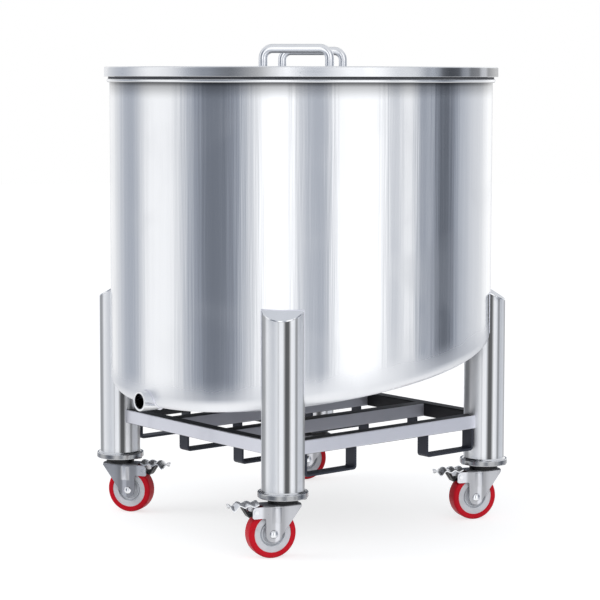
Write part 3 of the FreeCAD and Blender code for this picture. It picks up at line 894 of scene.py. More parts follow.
def leg_steel(name, groups, colour, centre):
    """Satin tube: streaks along it, and painted shade and dark reflection bands in its colour."""
    finish, tree, shader, place, normal = new_finish(name, 0.48, 1.0)
    around = placed(tree, groups["round"], Vector=place, Centre_X=centre[0], Centre_Y=centre[1])
    streaks = placed(tree, groups["streaks"], Angle=around["Angle"], Height=around["Height"],
                     Fineness=9, Length=0.5, Tint=0.07, Gloss=0.06)
    patches = placed(tree, groups["handling"], Vector=place, Scale=5.0, Gloss=0.05, Tint=0.02)
    facing = placed(tree, groups["facing"], Normal=normal, Down=0.3)
    # Painted reflections: dark bands at fixed azimuths round the leg's axis darken its colour
    bands = banded(tree, groups["band"], around["Azimuth"], 1.0, LEG_PAINTED_BANDS)
    coloured(tree, shader, colour, streaks["Tint"], patches["Tint"], facing["Tint"], bands)
    roughened(tree, shader, streaks["Gloss"], patches["Gloss"])
    embossed(tree, shader, streaks["Relief"], 0.00008)
    return finish


def lid_steel(groups, colour):
    """Satin sheet with a level grain, painted shade, and painted streaks on its turned-down edge.
    """
    finish, tree, shader, place, normal = new_finish("lid_sheet_steel", 0.26, 1.0)
    grain = placed(tree, groups["grain"], Vector=place, Stretch=(2.5, 2.5, 420), Tint=0.10,
                   Gloss=0.12)
    patches = placed(tree, groups["handling"], Vector=place, Scale=9.0, Gloss=0.06, Tint=0.04)
    around = placed(tree, groups["round"], Vector=place)
    facing = placed(tree, groups["facing"], Normal=normal, Down=0.5)
    # Painted shade and painted reflection streaks, only on the upright edge
    bands = banded(tree, groups["band"], around["Azimuth"], 1.0, LID_PAINTED_BANDS)
    upright = mixed(tree, facing["Upright"], 1.0, bands)
    coloured(tree, shader, colour, grain["Tint"], patches["Tint"], facing["Tint"], upright)
    roughened(tree, shader, grain["Gloss"], patches["Gloss"])
    embossed(tree, shader, grain["Relief"], 0.00002)
    return finish


def flat_steel(name, groups, colour, roughness, stretch, tint=0.10, relief=0.00002,
               metallic=1.0, up=1.0, down=1.0, side=1.0):
    """Sheet, bar or rod: a straight grain from stretched noise, wiping patches and painted shade.
    """
    finish, tree, shader, place, normal = new_finish(name, roughness, metallic)
    grain = placed(tree, groups["grain"], Vector=place, Stretch=stretch, Tint=tint, Gloss=0.12)
    patches = placed(tree, groups["handling"], Vector=place, Scale=9.0, Gloss=0.06, Tint=0.04)
    facing = placed(tree, groups["facing"], Normal=normal, Up=up, Down=down)
    upright = mixed(tree, facing["Upright"], 1.0, side)
    coloured(tree, shader, colour, grain["Tint"], patches["Tint"], facing["Tint"], upright)
    roughened(tree, shader, grain["Gloss"], patches["Gloss"])
    embossed(tree, shader, grain["Relief"], relief)
    return finish


def beam_steel(groups, colour):
    """Matt square tube with a level grain, and the tank's shade painted on its inside and top."""
    finish, tree, shader, place, normal = new_finish("frame_beam_steel", 0.45, 0.8)
    grain = placed(tree, groups["grain"], Vector=place, Stretch=(30, 30, 700), Tint=0.06,
                   Gloss=0.10)
    patches = placed(tree, groups["handling"], Vector=place, Scale=9.0, Gloss=0.06, Tint=0.04)
    facing = placed(tree, groups["facing"], Normal=normal, Down=0.25)
    # Painted shade: the top and inner faces are darker than the outer faces
    edge = SIDE_HIGH.x - 1.5 * MM
    shade = placed(tree, groups["shade"], Vector=place, Edge=edge, Inside=0.05)["Tint"]
    coloured(tree, shader, colour, grain["Tint"], patches["Tint"], facing["Tint"], shade)
    roughened(tree, shader, grain["Gloss"], patches["Gloss"])
    embossed(tree, shader, grain["Relief"], 0.00002)
    return finish


def pressed_steel(name, groups, colour, leg):
    """Smooth pressed sheet, with painted light and shade in upright bands along a fork's side."""
    finish, tree, shader, place, _ = new_finish(name, 0.30, 0.7)
    centre, heading = leg_place(leg), caster_heading(leg)
    trail = placed(tree, groups["trail"], Vector=place, Centre_X=centre[0], Centre_Y=centre[1],
                   Ahead_X=math.cos(heading), Ahead_Y=math.sin(heading))["Trail"]
    grain = placed(tree, groups["grain"], Vector=place, Stretch=(120, 120, 120), Tint=0.04,
                   Gloss=0.12)
    # Painted highlights and painted shade across the ridge, the leg's edge and the ears
    bands = banded(tree, groups["band"], trail, 0.70, FORK_PAINTED_BANDS)
    coloured(tree, shader, colour, grain["Tint"], bands)
    roughened(tree, shader, grain["Gloss"])
    embossed(tree, shader, grain["Relief"], 0.00001)
    return finish


def moulded(name, groups, colour, roughness, coat):
    """Plastic, rubber or paint: a fine even grain with a light coat."""
    finish, tree, shader, place, _ = new_finish(name, roughness, 0.0)
    shader.inputs["Specular IOR Level"].default_value = 0.25
    shader.inputs["Coat Roughness"].default_value = 0.12
    shader.inputs["Coat Weight"].default_value = coat
    grain = placed(tree, groups["grain"], Vector=place, Stretch=(900, 900, 900), Tint=0.12,
                   Gloss=0.15)
    patches = placed(tree, groups["handling"], Vector=place, Scale=30.0, Gloss=0.10, Tint=0.10)
    coloured(tree, shader, colour, grain["Tint"], patches["Tint"])
    roughened(tree, shader, grain["Gloss"], patches["Gloss"])
    embossed(tree, shader, grain["Relief"], 0.00003)
    return finish


def make_finishes(colours):
    """All materials, each placed on shared node groups with its own values."""
    groups = {"round": group_round_coordinates(), "streaks": group_streaks(),
              "grain": group_grain(), "handling": group_handling(), "facing": group_painted_facing_shade(),
              "band": group_band(), "shade": group_painted_inside_shade(), "trail": group_trail()}
    steel = colours.steel
    # Up, down and side are painted shade on faces turned up, down and upright
    made = {
        "tank": tank_steel(groups, steel),
        "lid": lid_steel(groups, steel),
        "bright": flat_steel("bright_rod_steel", groups, steel, roughness=0.14,
                             stretch=(60, 60, 60), tint=0.06, down=0.35),
        "foot": flat_steel("foot_disc_steel", groups, steel, roughness=0.20,
                           stretch=(60, 60, 60), tint=0.06, up=0.85, down=0.3, side=0.45),
        "frame": beam_steel(groups, colours.frame_steel),
        # Painted shade: a darker copy of the beams' steel, with darker tops
        "cross": flat_steel("cross_bar_shaded_steel", groups, colours.shaded_cross_steel, roughness=0.50,
                            stretch=(30, 30, 700), tint=0.06, metallic=0.3, up=0.10, down=0.25),
        # Painted shade: the straps' steel is made near black
        "strap": flat_steel("fork_strap_shaded_steel", groups, colours.shaded_strap_steel, roughness=0.45,
                            stretch=(60, 60, 400), metallic=0.3, down=0.3),
        "pedal": flat_steel("pressed_pedal_steel", groups, steel, roughness=0.24,
                            stretch=(120, 120, 120), tint=0.04, relief=0.00001, metallic=0.85,
                            down=0.45),
        "weld": flat_steel("weld_bead_steel", groups, colours.frame_steel, roughness=0.35,
                           stretch=(500, 500, 500), tint=0.3, relief=0.0002),
        "tyre": moulded("cast_tyre_red", groups, colours.tyre, roughness=0.48, coat=0.08),
        "core": moulded("moulded_core_grey", groups, colours.core, roughness=0.45, coat=0.10),
        "black": moulded("dark_plate_black", groups, colours.black, roughness=0.45, coat=0.1),
        "seal": moulded("gasket_grey", groups, colours.gasket, roughness=0.6, coat=0.0),
    }
    for leg in LEGS:
        made["leg_" + leg] = leg_steel("leg_tube_steel_" + leg, groups, colours.leg_steel,
                                       leg_place(leg))
        made["fork_" + leg] = pressed_steel("pressed_fork_steel_" + leg, groups,
                                            colours.caster_steel, leg)
    return made


FINISHES = {}


def finish_of(name):
    """A finished material by its short name. All of them are made at the first call."""
    if not FINISHES:
        FINISHES.update(make_finishes(bpy.context.scene.tank_finishes))
    return FINISHES[name]


def leg_place(leg):
    """Plan position of a leg's axis: its caster's swivel axis."""
    return JOINTS["caster_swivel_" + leg]["pos_m"][:2]


def caster_heading(leg):
    """Direction in which a caster trails: from its swivel axis to its wheel's axle."""
    swivel = JOINTS["caster_swivel_" + leg]["pos_m"]
    axle = JOINTS["wheel_spin_" + leg]["pos_m"]
    return math.atan2(axle[1] - swivel[1], axle[0] - swivel[0])


def at_caster(patches, leg):
    """Patches in caster coordinates (trail, side, height) put in place at a leg."""
    x, y = leg_place(leg)
    return [turned(patch, caster_heading(leg), (x, y, 0)) for patch in patches]


def shell_rows(sizes, angle, inset):
    """Rows of points down one side of the tank's wall: cylinder, knuckle and bottom.

    The knuckle is the surface that a rolling ball leaves: the ball's centre lies at
    radius R - r and at height bottom + slope * y + r * sqrt(1 + slope^2), and the
    surface turns about it from the horizontal outward direction to the bottom
    plane's normal by spherical interpolation. The bottom's rows shrink towards the
    plane's point on the axis.
    """
    steep = math.hypot(1, sizes.slope)
    outward = grid_of(np.cos(angle), np.sin(angle), 0)
    down = np.array([0, sizes.slope, -1]) / steep
    centre = (sizes.radius - sizes.knuckle) * outward
    centre[:, 2] = sizes.bottom + sizes.slope * centre[:, 1] + sizes.knuckle * steep
    share = np.linspace(0, 1, KNUCKLE_ROWS)[:, None, None]
    bend = np.arccos(outward @ down)[None, :, None]
    direction = (np.sin((1 - share) * bend) * outward + np.sin(share * bend) * down) / np.sin(bend)
    knuckle = centre + (sizes.knuckle - inset) * direction
    top = knuckle[:1].copy()
    top[..., 2] = sizes.top
    fall = np.linspace(0, 1, WALL_ROWS)[:-1, None, None]
    wall = top + (knuckle[:1] - top) * fall
    middle = np.array([0, 0, sizes.bottom + inset * steep])
    shrink = np.array(BOTTOM_SHARES)[:, None, None]
    bottom = middle + (knuckle[-1:] - middle) * shrink
    return np.concatenate([wall, knuckle, bottom])


def underside(sizes, x, y):
    """Height of the tank's outer form above a point of the plan, from the same knuckle."""
    steep = math.hypot(1, sizes.slope)
    radius = np.hypot(x, y)
    flat = sizes.radius - sizes.knuckle
    beyond = np.clip(radius - flat, 0, sizes.knuckle)
    y_centre = y * np.minimum(1, flat / np.maximum(radius, 1e-9))
    centre = sizes.bottom + sizes.slope * y_centre + sizes.knuckle * steep
    return centre - steep * np.sqrt(sizes.knuckle ** 2 - beyond ** 2)


def outlet_depth(sizes, x, z, inset):
    """How far towards -Y the tank's wall lies at a point beside the outlet.

    The section through the axis is an arc of the knuckle's radius about its centre,
    and the plan's circle moves it in by the circle's own depth at x.
    """
    steep = math.hypot(1, sizes.slope)
    flat = sizes.radius - sizes.knuckle
    centre = sizes.bottom - sizes.slope * flat + sizes.knuckle * steep
    drop = np.clip(centre - z, 0, None)
    reach = flat + np.sqrt(np.clip((sizes.knuckle - inset) ** 2 - drop ** 2, 0, None))
    return -np.sqrt(reach ** 2 - x ** 2)


class TANK_OT_build_skin(bpy.types.Operator):
    """Build the shell, the sloped bottom, the rim bead, the gasket and the outlet"""

    bl_idname = "tank.build_skin"
    bl_label = "Tank Skin"

    def execute(self, context):
        sizes = context.scene.tank_sizes
        angle = np.arange(sizes.columns) * (FULL_TURN / sizes.columns)
        outer = shell_rows(sizes, angle, 0)
        inner = shell_rows(sizes, angle, sizes.wall)
        edge = np.stack([inner[0], outer[0]])
        skin = piece(
            "tank_skin", [surface(part, wrap_columns=True) for part in (outer, inner, edge)],
            "tank", finish_of("tank"), ["tank_shell", "tank_bottom"])
        self.cut_outlet(skin, sizes)
        crease, bulge = 0.4 * MM, 0.49 * (RIM_HIGH.z - RIM_LOW.z)
        inside = sizes.radius - sizes.wall
        profile = rounded(
            [(inside, RIM_LOW.z), (RIM_HIGH.x, RIM_LOW.z), (RIM_HIGH.x, RIM_HIGH.z),
             (inside, RIM_HIGH.z)], [crease, bulge, bulge, crease], 8)
        piece("rim_bead", [revolved(profile, sizes.columns)], "tank",
              finish_of("bright"), ["tank_rim"])
        seal_width = 7 * MM
        inside = SEAL_HIGH.x - seal_width
        profile = rounded(
            [(inside, SEAL_LOW.z), (SEAL_HIGH.x, SEAL_LOW.z), (SEAL_HIGH.x, SEAL_HIGH.z),
             (inside, SEAL_HIGH.z)], 0.9 * MM, 3)
        piece("lid_gasket", [revolved(profile, sizes.columns)], "tank",
              finish_of("seal"), ["lid_seal"])
        self.outlet(sizes)
        return {"FINISHED"}

    def cut_outlet(self, skin, sizes):
        """Cuts the outlet's hole through the wall, just inside the pipe's own wall."""
        x, z = circle(OUTLET_RADIUS - sizes.outlet_wall / 4, 64).T
        ends = np.array([OUTLET_LOW.y, -(sizes.radius - sizes.knuckle)])[:, None]
        grid = grid_of(x, ends, OUTLET_HEIGHT + z)
        cutter = drawn("outlet_cutter", [surface(with_poles(grid), wrap_columns=True)])
        skin.modifiers.remove(skin.modifiers["Shading"])
        cut = skin.modifiers.new("Outlet", "BOOLEAN")
        cut.object = cutter
        cut.operation = "DIFFERENCE"
        cut.solver = "EXACT"
        applied(skin)
        bpy.data.objects.remove(cutter)
        shade(skin)

    def outlet(self, sizes):
        """The pipe: its inner end follows the tank's inside, and a weld runs round it."""
        bore = OUTLET_RADIUS - sizes.outlet_wall
        lip = 1.3 * MM
        rim = OUTLET_LOW.y + lip
        turn = np.linspace(0, RIGHT_ANGLE, 6)
        inner_lip = np.stack([bore + lip - lip * np.cos(turn), rim - lip * np.sin(turn)], axis=1)
        outer_lip = np.stack([OUTLET_RADIUS - lip + lip * np.sin(turn),
                              rim - lip * np.cos(turn)], axis=1)
        reach, depth = np.hsplit(np.concatenate([inner_lip, outer_lip]), 2)
        x, z = circle(1, OUTLET_COLUMNS).T
        mouth = grid_of(reach * x, depth, OUTLET_HEIGHT + reach * z)
        inner_end = self.on_wall(sizes, bore, sizes.wall)[None]
        outer_end = self.on_wall(sizes, OUTLET_RADIUS, sizes.wall)[None]
        grid = np.concatenate([inner_end, mouth, outer_end])
        piece("outlet_spout", [surface(grid, wrap_rows=True, wrap_columns=True)], "tank",
              finish_of("bright"), ["outlet_pipe"])
        weld = closed_bead(self.on_wall(sizes, OUTLET_RADIUS, 0), sizes.weld)
        piece("outlet_weld", [weld], "tank", finish_of("weld"))

    def on_wall(self, sizes, reach, inset):
        """Points round the outlet's axis, at an inset below the outside of the tank's wall."""
        x, z = circle(reach, OUTLET_COLUMNS).T
        height = OUTLET_HEIGHT + z
        return grid_of(x, outlet_depth(sizes, x, height, inset), height)


class TANK_OT_build_lid(bpy.types.Operator):
    """Build the lift-off lid with its turned-down edge and its two grips"""

    bl_idname = "tank.build_lid"
    bl_label = "Lid and Grips"

    def execute(self, context):
        sizes = context.scene.lid_sizes
        tank = context.scene.tank_sizes
        sheet, edge = sizes.sheet, sizes.edge
        outside, top = LID_HIGH.x, LID_HIGH.z
        lip = tank.radius - tank.wall - sizes.lip_gap
        rest_gap = 0.3 * MM
        low = SEAL_HIGH.z + rest_gap
        corners = [
            (0, top), (outside, top), (outside, low), (lip, low), (lip, LID_LOW.z),
            (lip - sheet, LID_LOW.z), (lip - sheet, low + sheet), (outside - sheet, low + sheet),
            (outside - sheet, top - sheet), (0, top - sheet),
        ]
        small = 0.6 * MM
        radii = [0, edge, 1.2 * MM, small, small, small, small, small, small, 0]
        profile = rounded(corners, radii, 6)
        piece("lid_cover", [revolved(profile, tank.columns, closed=False)], "lid_set",
              finish_of("lid"), ["lid"])
        diagonal = math.radians(45)
        grips = []
        for side in (-1, 1):
            for points, quads in self.grip(sizes):
                moved = points + np.array([sizes.aside, side * sizes.offset, 0])
                grips.append(turned((moved, quads), diagonal))
        piece("lid_grips", grips, "lid_set", finish_of("bright"),
              ["lid_handles"])
        return {"FINISHED"}

    def grip(self, sizes):
        """A rod's circle carried along three straight runs joined by arcs, with foot welds."""
        half = (sizes.span - sizes.rod) / 2
        top = GRIP_HIGH.z - sizes.rod / 2
        base = LID_HIGH.z
        line = np.array([(-half, base), (-half, top), (half, top), (half, base)])
        path = rounded(line, [0, sizes.bend, sizes.bend, 0], 12)
        rod = swept(apart(path), circle(sizes.rod / 2, 28))
        foot = sizes.rod / 2
        weld = 1.8 * MM
        turn = np.linspace(0, RIGHT_ANGLE, 6)
        fillet = np.stack([foot + weld * (1 - np.sin(turn)), base + weld * (1 - np.cos(turn))],
                          axis=1)
        inside = foot - weld / 2
        profile = np.concatenate([[[inside, base]], fillet, [[inside, base + weld]]])
        welds = [turned(revolved(profile, 32), 0, (x, 0, 0)) for x in (-half, half)]
        return [rod] + welds


class TANK_OT_build_legs(bpy.types.Operator):
    """Build the leg tubes, their slanted top plates, the welds and the foot discs"""

    bl_idname = "tank.build_legs"
    bl_label = "Legs"

    def execute(self, context):
        sizes = context.scene.leg_sizes
        tank = context.scene.tank_sizes
        crossing, span = self.crossings(tank)
        caps, welds = [], []
        for leg, (x, y) in LEGS.items():
            turn = math.atan2(y, x)
            patches = self.tube(sizes, tank, crossing, turn)
            piece("leg_tube_" + leg, patches, "tank", finish_of("leg_" + leg),
                  ["leg_" + leg], wall=sizes.wall)
            caps += [turned(patch, turn) for patch in self.cap(sizes, tank, crossing, span)]
            welds += self.welds(sizes, tank, span, turn)
        piece("leg_top_plates", caps, "tank", finish_of("bright"), ["leg_caps"],
              bevel=1.1 * MM, segments=3)
        piece("leg_welds", welds, "tank", finish_of("weld"))
        self.feet(sizes)
        return {"FINISHED"}

    def crossings(self, tank):
        """Half the angle between the crossings of leg and tank, about either one's axis.

        The angle about the leg's axis follows from the cosine rule.
        """
        beyond = tank.radius ** 2 - LEG_REACH ** 2 - LEG_RADIUS ** 2
        crossing = math.acos(beyond / (2 * LEG_REACH * LEG_RADIUS))
        x, y = arc(LEG_RADIUS, crossing, LEG_REACH)
        return crossing, math.atan2(y, x)

    def top(self, sizes, x):
        """Height of the slanted plate: the lip's height plus its slope towards the tank."""
        return sizes.lip + sizes.cap_slope * (LEG_REACH + LEG_RADIUS - x)

    def tube(self, sizes, tank, crossing, turn):
        """Upright lines around the leg, ended by the tank's underside or by the top plate.

        Between the two crossings with the tank's cylinder a line first ends at a height
        between those of the crossings, and a second patch goes on from there to the plate.
        """
        front = np.linspace(-crossing, crossing, LEG_FRONT_POINTS)
        back = np.linspace(crossing, FULL_TURN - crossing, LEG_BACK_POINTS)[1:-1]
        plan = arc(LEG_RADIUS, np.concatenate([front, back]), LEG_REACH)
        x, y = self.in_tank(plan, turn)
        heights = underside(tank, x, y)
        ahead = slice(LEG_FRONT_POINTS)
        heights[ahead] = np.linspace(*heights[ahead][[0, -1]], LEG_FRONT_POINTS)
        lower = grid_of(x, y, np.linspace(FOOT_HIGH.z, heights, LEG_ROWS))
        summit = self.top(sizes, plan[ahead, 0]) - sizes.cap_sheet
        upper = grid_of(x[ahead], y[ahead], np.linspace(heights[ahead], summit, LEG_ROWS))
        return [surface(lower, wrap_columns=True), surface(upper)]

    def in_tank(self, plan, turn):
        """Plan coordinates in the tank's frame of points drawn with their leg on +X."""
        cos, sin = math.cos(turn), math.sin(turn)
        x, y = plan[..., 0], plan[..., 1]
        return x * cos - y * sin, x * sin + y * cos

    def cap(self, sizes, tank, crossing, span):
        """The plate between the leg's arc and the tank's arc, which meet at the crossings."""
        share = np.linspace(-1, 1, LEG_FRONT_POINTS)
        outer = arc(LEG_RADIUS, share * crossing, LEG_REACH)
        inner = arc(tank.radius, share * span)
        plan = np.linspace(outer, inner, 5)
        upper = np.concatenate([plan, self.top(sizes, plan[..., :1])], axis=-1)
        lower = upper - np.array([0, 0, sizes.cap_sheet])
        rim = [surface(np.stack([upper[row], lower[row]])) for row in (0, -1)]
        return [surface(upper), surface(lower)] + rim

    def welds(self, sizes, tank, span, turn):
        """Beads up both crossings and along the plate's edge on the tank."""
        thin = 0.6 * tank.weld
        paths = []
        for side in (-1, 1):
            plan = arc(tank.radius, side * span)
            low = underside(tank, *self.in_tank(plan, turn))
            paths.append(grid_of(*plan, np.linspace(low, self.top(sizes, plan[0]), 12)))
        x, y = arc(tank.radius, np.linspace(-span, span, 24)).T
        paths.append(grid_of(x, y, self.top(sizes, x)))
        beads = []
        for path in paths:
            out = unit(path * np.array([1, 1, 0]))
            across = np.cross(unit(np.gradient(path, axis=0)), out)
            grid = with_poles(bead_grid(path, thin, across, out))
            beads.append(turned(surface(grid, wrap_columns=True), turn))
        return beads

    def feet(self, sizes):
        """Foot discs with rounded edges and the weld that joins each to its tube."""
        low, high = FOOT_LOW.z, FOOT_HIGH.z
        disc = FOOT_HIGH.x - LEG_OFFSET
        weld, inside = sizes.foot_weld, LEG_RADIUS - 2 * MM
        corners = [(0, high), (inside, high), (inside, high + weld), (LEG_RADIUS, high + weld),
                   (LEG_RADIUS + weld, high), (disc, high), (disc, low), (0, low)]
        radii = [0, 0, 0, 0.3 * MM, 2.0 * MM, sizes.foot_round, sizes.foot_round, 0]
        profile = rounded(corners, radii, 6)
        discs = [turned(revolved(profile, 96, closed=False), 0, (*leg_place(leg), 0))
                 for leg in LEGS]
        piece("foot_discs", discs, "tank", finish_of("foot"), ["leg_flanges"])


class TANK_OT_build_frame(bpy.types.Operator):
    """Build the square beams between the legs, the cross bars and the fork straps"""

    bl_idname = "tank.build_frame"
    bl_label = "Frame and Straps"

    def execute(self, context):
        sizes = context.scene.frame_sizes
        section = rounded(
            [(-BEAM_HALF, -BEAM_HALF), (BEAM_HALF, -BEAM_HALF), (BEAM_HALF, BEAM_HALF),
             (-BEAM_HALF, BEAM_HALF)], sizes.corner, 4)
        reach = LEG_OFFSET - np.sqrt(LEG_RADIUS ** 2 - section[:, 0] ** 2)
        beam = self.bar(section, reach, LEG_OFFSET)
        for name, turn in (("front", 180), ("right", 270), ("rear", 0), ("left", 90)):
            piece("beam_" + name, [turned(beam, math.radians(turn))], "tank",
                  finish_of("frame"), ["frame_beam_" + name], wall=sizes.wall)
        cross = []
        for side in (-1, 1):
            bar = self.bar(section, CROSS_HIGH.y, side * (CROSS_HIGH.x - BEAM_HALF))
            cross.append(turned(bar, -RIGHT_ANGLE))
        piece("cross_bars", cross, "tank", finish_of("cross"), ["cross_beams"],
              wall=sizes.wall)
        self.straps(sizes)
        return {"FINISHED"}

    def bar(self, section, reach, place):
        """A section in (y, z) drawn along X between -reach and +reach of each of its points."""
        share = np.linspace(-1, 1, 9)[:, None]
        grid = grid_of(share * reach, place + section[:, 0], BEAM_MIDDLE + section[:, 1])
        return surface(grid, wrap_columns=True)

    def straps(self, sizes):
        """Flat bars bent to a U: a rounded oblong section carried along the U's middle line."""
        thick, width = sizes.strap_sheet, STRAP_HIGH.x - LEG_OFFSET
        section = rounded([(-thick / 2, -width), (thick / 2, -width), (thick / 2, width),
                           (-thick / 2, width)], sizes.strap_edge, 3)
        top, low = STRAP_HIGH.z, STRAP_LOW.z + thick / 2
        bend = sizes.strap_bend - thick / 2
        inner = sizes.strap_near * LEG_OFFSET + thick / 2
        ends = {LEG_OFFSET: LEG_OFFSET - LEG_RADIUS - sizes.strap_clear,
                CROSS_HIGH.x - BEAM_HALF: STRAP_HIGH.y}
        for name, side in (("left", -1), ("right", 1)):
            patches = []
            for middle, far in ends.items():
                outer = far - thick / 2
                line = [(inner, top), (inner, low), (outer, low), (outer, top)]
                path = rounded(line, [0, bend, bend, 0], 6)
                points, quads = swapped(swept(apart(path), section), (1, 0, 2))
                patches += [(points * np.array([1, end, 1]) + np.array([side * middle, 0, 0]),
                             quads) for end in (-1, 1)]
            piece("straps_" + name, patches, "tank", finish_of("strap"),
                  ["fork_straps_" + name])


class TANK_OT_build_casters(bpy.types.Operator):
    """Build the four swivel casters: top plates, forks, wheels, pedals and levers"""

    bl_idname = "tank.build_casters"
    bl_label = "Casters"

    def execute(self, context):
        sizes = context.scene.caster_sizes
        copied("caster_plates", "caster_top_plates", "tank", finish_of("black"),
               bevel=0.5 * MM)
        for leg in LEGS:
            wheel, fork, pedal = "wheel_" + leg, "caster_" + leg, "pedal_" + leg
            copied("caster_fork_" + leg, "fork_" + leg, fork,
                   finish_of("fork_" + leg), bevel=0.5 * MM)
            piece("axle_" + leg, at_caster([self.axle(sizes)], leg), fork,
                  finish_of("bright"), ["caster_axle_" + leg])
            piece("ridge_toes_" + leg, at_caster(self.toes(sizes), leg), fork,
                  finish_of("fork_" + leg))
            piece("tread_" + leg, at_caster([self.tyre(sizes)], leg), wheel,
                  finish_of("tyre"), ["tyre_" + leg])
            piece("core_" + leg, at_caster([self.core(sizes)], leg), wheel,
                  finish_of("core"), ["wheel_core_" + leg])
            copied("brake_pedal_" + leg, "pedal_cap_" + leg, pedal,
                   finish_of("pedal"), bevel=0.6 * MM)
            copied("brake_lever_" + leg, "lock_lever_" + leg, pedal,
                   finish_of("black"), bevel=0.6 * MM)
        return {"FINISHED"}

    def toes(self, sizes):
        """Fillings of the slots at the ridges' toes: a rounded oblong carried upwards."""
        half_width, half_height = 6 * MM, 2.3 * MM
        depth, sunk = 2.2 * MM, 0.15 * MM
        inner, outer = sizes.fork_half - depth, sizes.fork_half - sunk
        plan = rounded([(-half_width, inner), (half_width, inner), (half_width, outer),
                        (-half_width, outer)], 0.5 * MM, 3)
        height = sizes.toe_height + np.array([-half_height, half_height])[:, None]
        grid = grid_of(sizes.ridge_trail + plan[:, 0], plan[:, 1], height)
        points, quads = surface(with_poles(grid), wrap_columns=True)
        return [(points * np.array([1, side, 1]), quads) for side in (-1, 1)]

    def about_axle(self, profile, columns, closed=True):
        """A (radius, side) profile turned about the wheel's axis, in caster coordinates."""
        swivel = JOINTS["caster_swivel_front_right"]["pos_m"]
        axle = JOINTS["wheel_spin_front_right"]["pos_m"]
        trail = math.hypot(axle[0] - swivel[0], axle[1] - swivel[1])
        points, quads = swapped(revolved(profile, columns, closed), (0, 2, 1))
        return points + np.array([trail, 0, axle[2]]), quads

    def tyre(self, sizes):
        """A ring with round shoulders and a slightly crowned tread."""
        outer, inner = sizes.tyre_radius, sizes.tyre_radius - sizes.tyre_depth
        half = sizes.tyre_width / 2
        crown, crown_round, edge_round = 0.35 * MM, 60 * MM, 0.5 * MM
        corners = [(inner, -half), (outer - crown, -half), (outer, 0), (outer - crown, half),
                   (inner, half)]
        radii = [edge_round, sizes.tyre_round, crown_round, sizes.tyre_round, edge_round]
        return self.about_axle(rounded(corners, radii, 8), 128)

    def core(self, sizes):
        """The moulded centre: rim, groove, raised ring, web and hub, the same on both sides."""
        outside = sizes.tyre_radius - sizes.tyre_depth
        hub, web, ring, rim = sizes.hub_width / 2, 5 * MM, 11 * MM, 14 * MM
        ring_start, ring_end, groove_end = 20 * MM, 23 * MM, 26 * MM
        side = [
            (sizes.axle_radius, hub), (sizes.hub_radius, hub), (sizes.hub_radius, web),
            (ring_start, web), (ring_start, ring), (ring_end, ring), (ring_end, web),
            (groove_end, web), (groove_end, rim), (outside, rim),
        ]
        radii = [0.3 * MM, 1.2 * MM, 1.5 * MM, 1.2 * MM, 1.0 * MM, 1.0 * MM, 0.9 * MM, 0.9 * MM,
                 1.6 * MM, 0.6 * MM]
        corners = side + [(r, -w) for r, w in reversed(side)]
        return self.about_axle(rounded(corners, radii + radii[::-1], 5), 128)

    def axle(self, sizes):
        """The axle with a domed head against each side of the fork."""
        head, dome = 9 * MM, 4.5 * MM
        ball = (head ** 2 + dome ** 2) / (2 * dome)
        turn = np.linspace(0, math.asin(head / ball), 9)
        cap = np.stack([ball * np.sin(turn), sizes.fork_half + dome - ball * (1 - np.cos(turn))],
                       axis=1)
        half = np.concatenate([cap, [[sizes.axle_radius, sizes.fork_half]]])
        mirrored = half[::-1] * np.array([1, -1])
        return self.about_axle(np.concatenate([half, mirrored]), 48, closed=False)


# What gloss sees round the horizon: centre, half width and soft edge in degrees from the
# photograph's viewpoint, and the light that each soft box adds or each flag takes.
SOFTBOXES = {
    "far backdrop": (180, 22, 36, 0.50),
    "far edge": (180, 6, 8, -0.80),
    "far right glow": (138, 12, 16, 0.16),
    "left window": (-92, 9, 17, 0.54),
    "left wing": (-51, 4, 17, -0.28),
    "front left glow": (-15, 5, 20, 0.45),
    "front left box": (-14, 7, 5, 0.38),
    "front right box": (34, 13, 7, 0.74),
    "front right glow": (60, 5, 12, 0.18),
    "narrow strip": (66, 1.5, 5, 0.38),
    "thin flag": (77, 0.5, 5, -0.14),
    "thin strip": (82, 1, 3.5, 0.12),
    "right wing": (94, 2, 12, -0.36),
    "right glow": (119, 6, 9, 0.10),
}
ROOM_LEVEL = 0.50
CEILING_LEVEL = 0.8
NEAR_FLOOR_LEVEL = 1.06

# The share of the bands' light that goes on below the horizon, and the light under it
FAR_FLOOR_SHARE, FAR_FLOOR_LEVEL = 0.55, 0.46

# Heights of a ray of length 1 at which one level starts and ends turning to the next
CEILING_START, CEILING_END = 0.25, 0.75
FAR_FLOOR_START, FAR_FLOOR_END = -0.16, -0.30
NEAR_FLOOR_START, NEAR_FLOOR_END = -0.52, -0.70


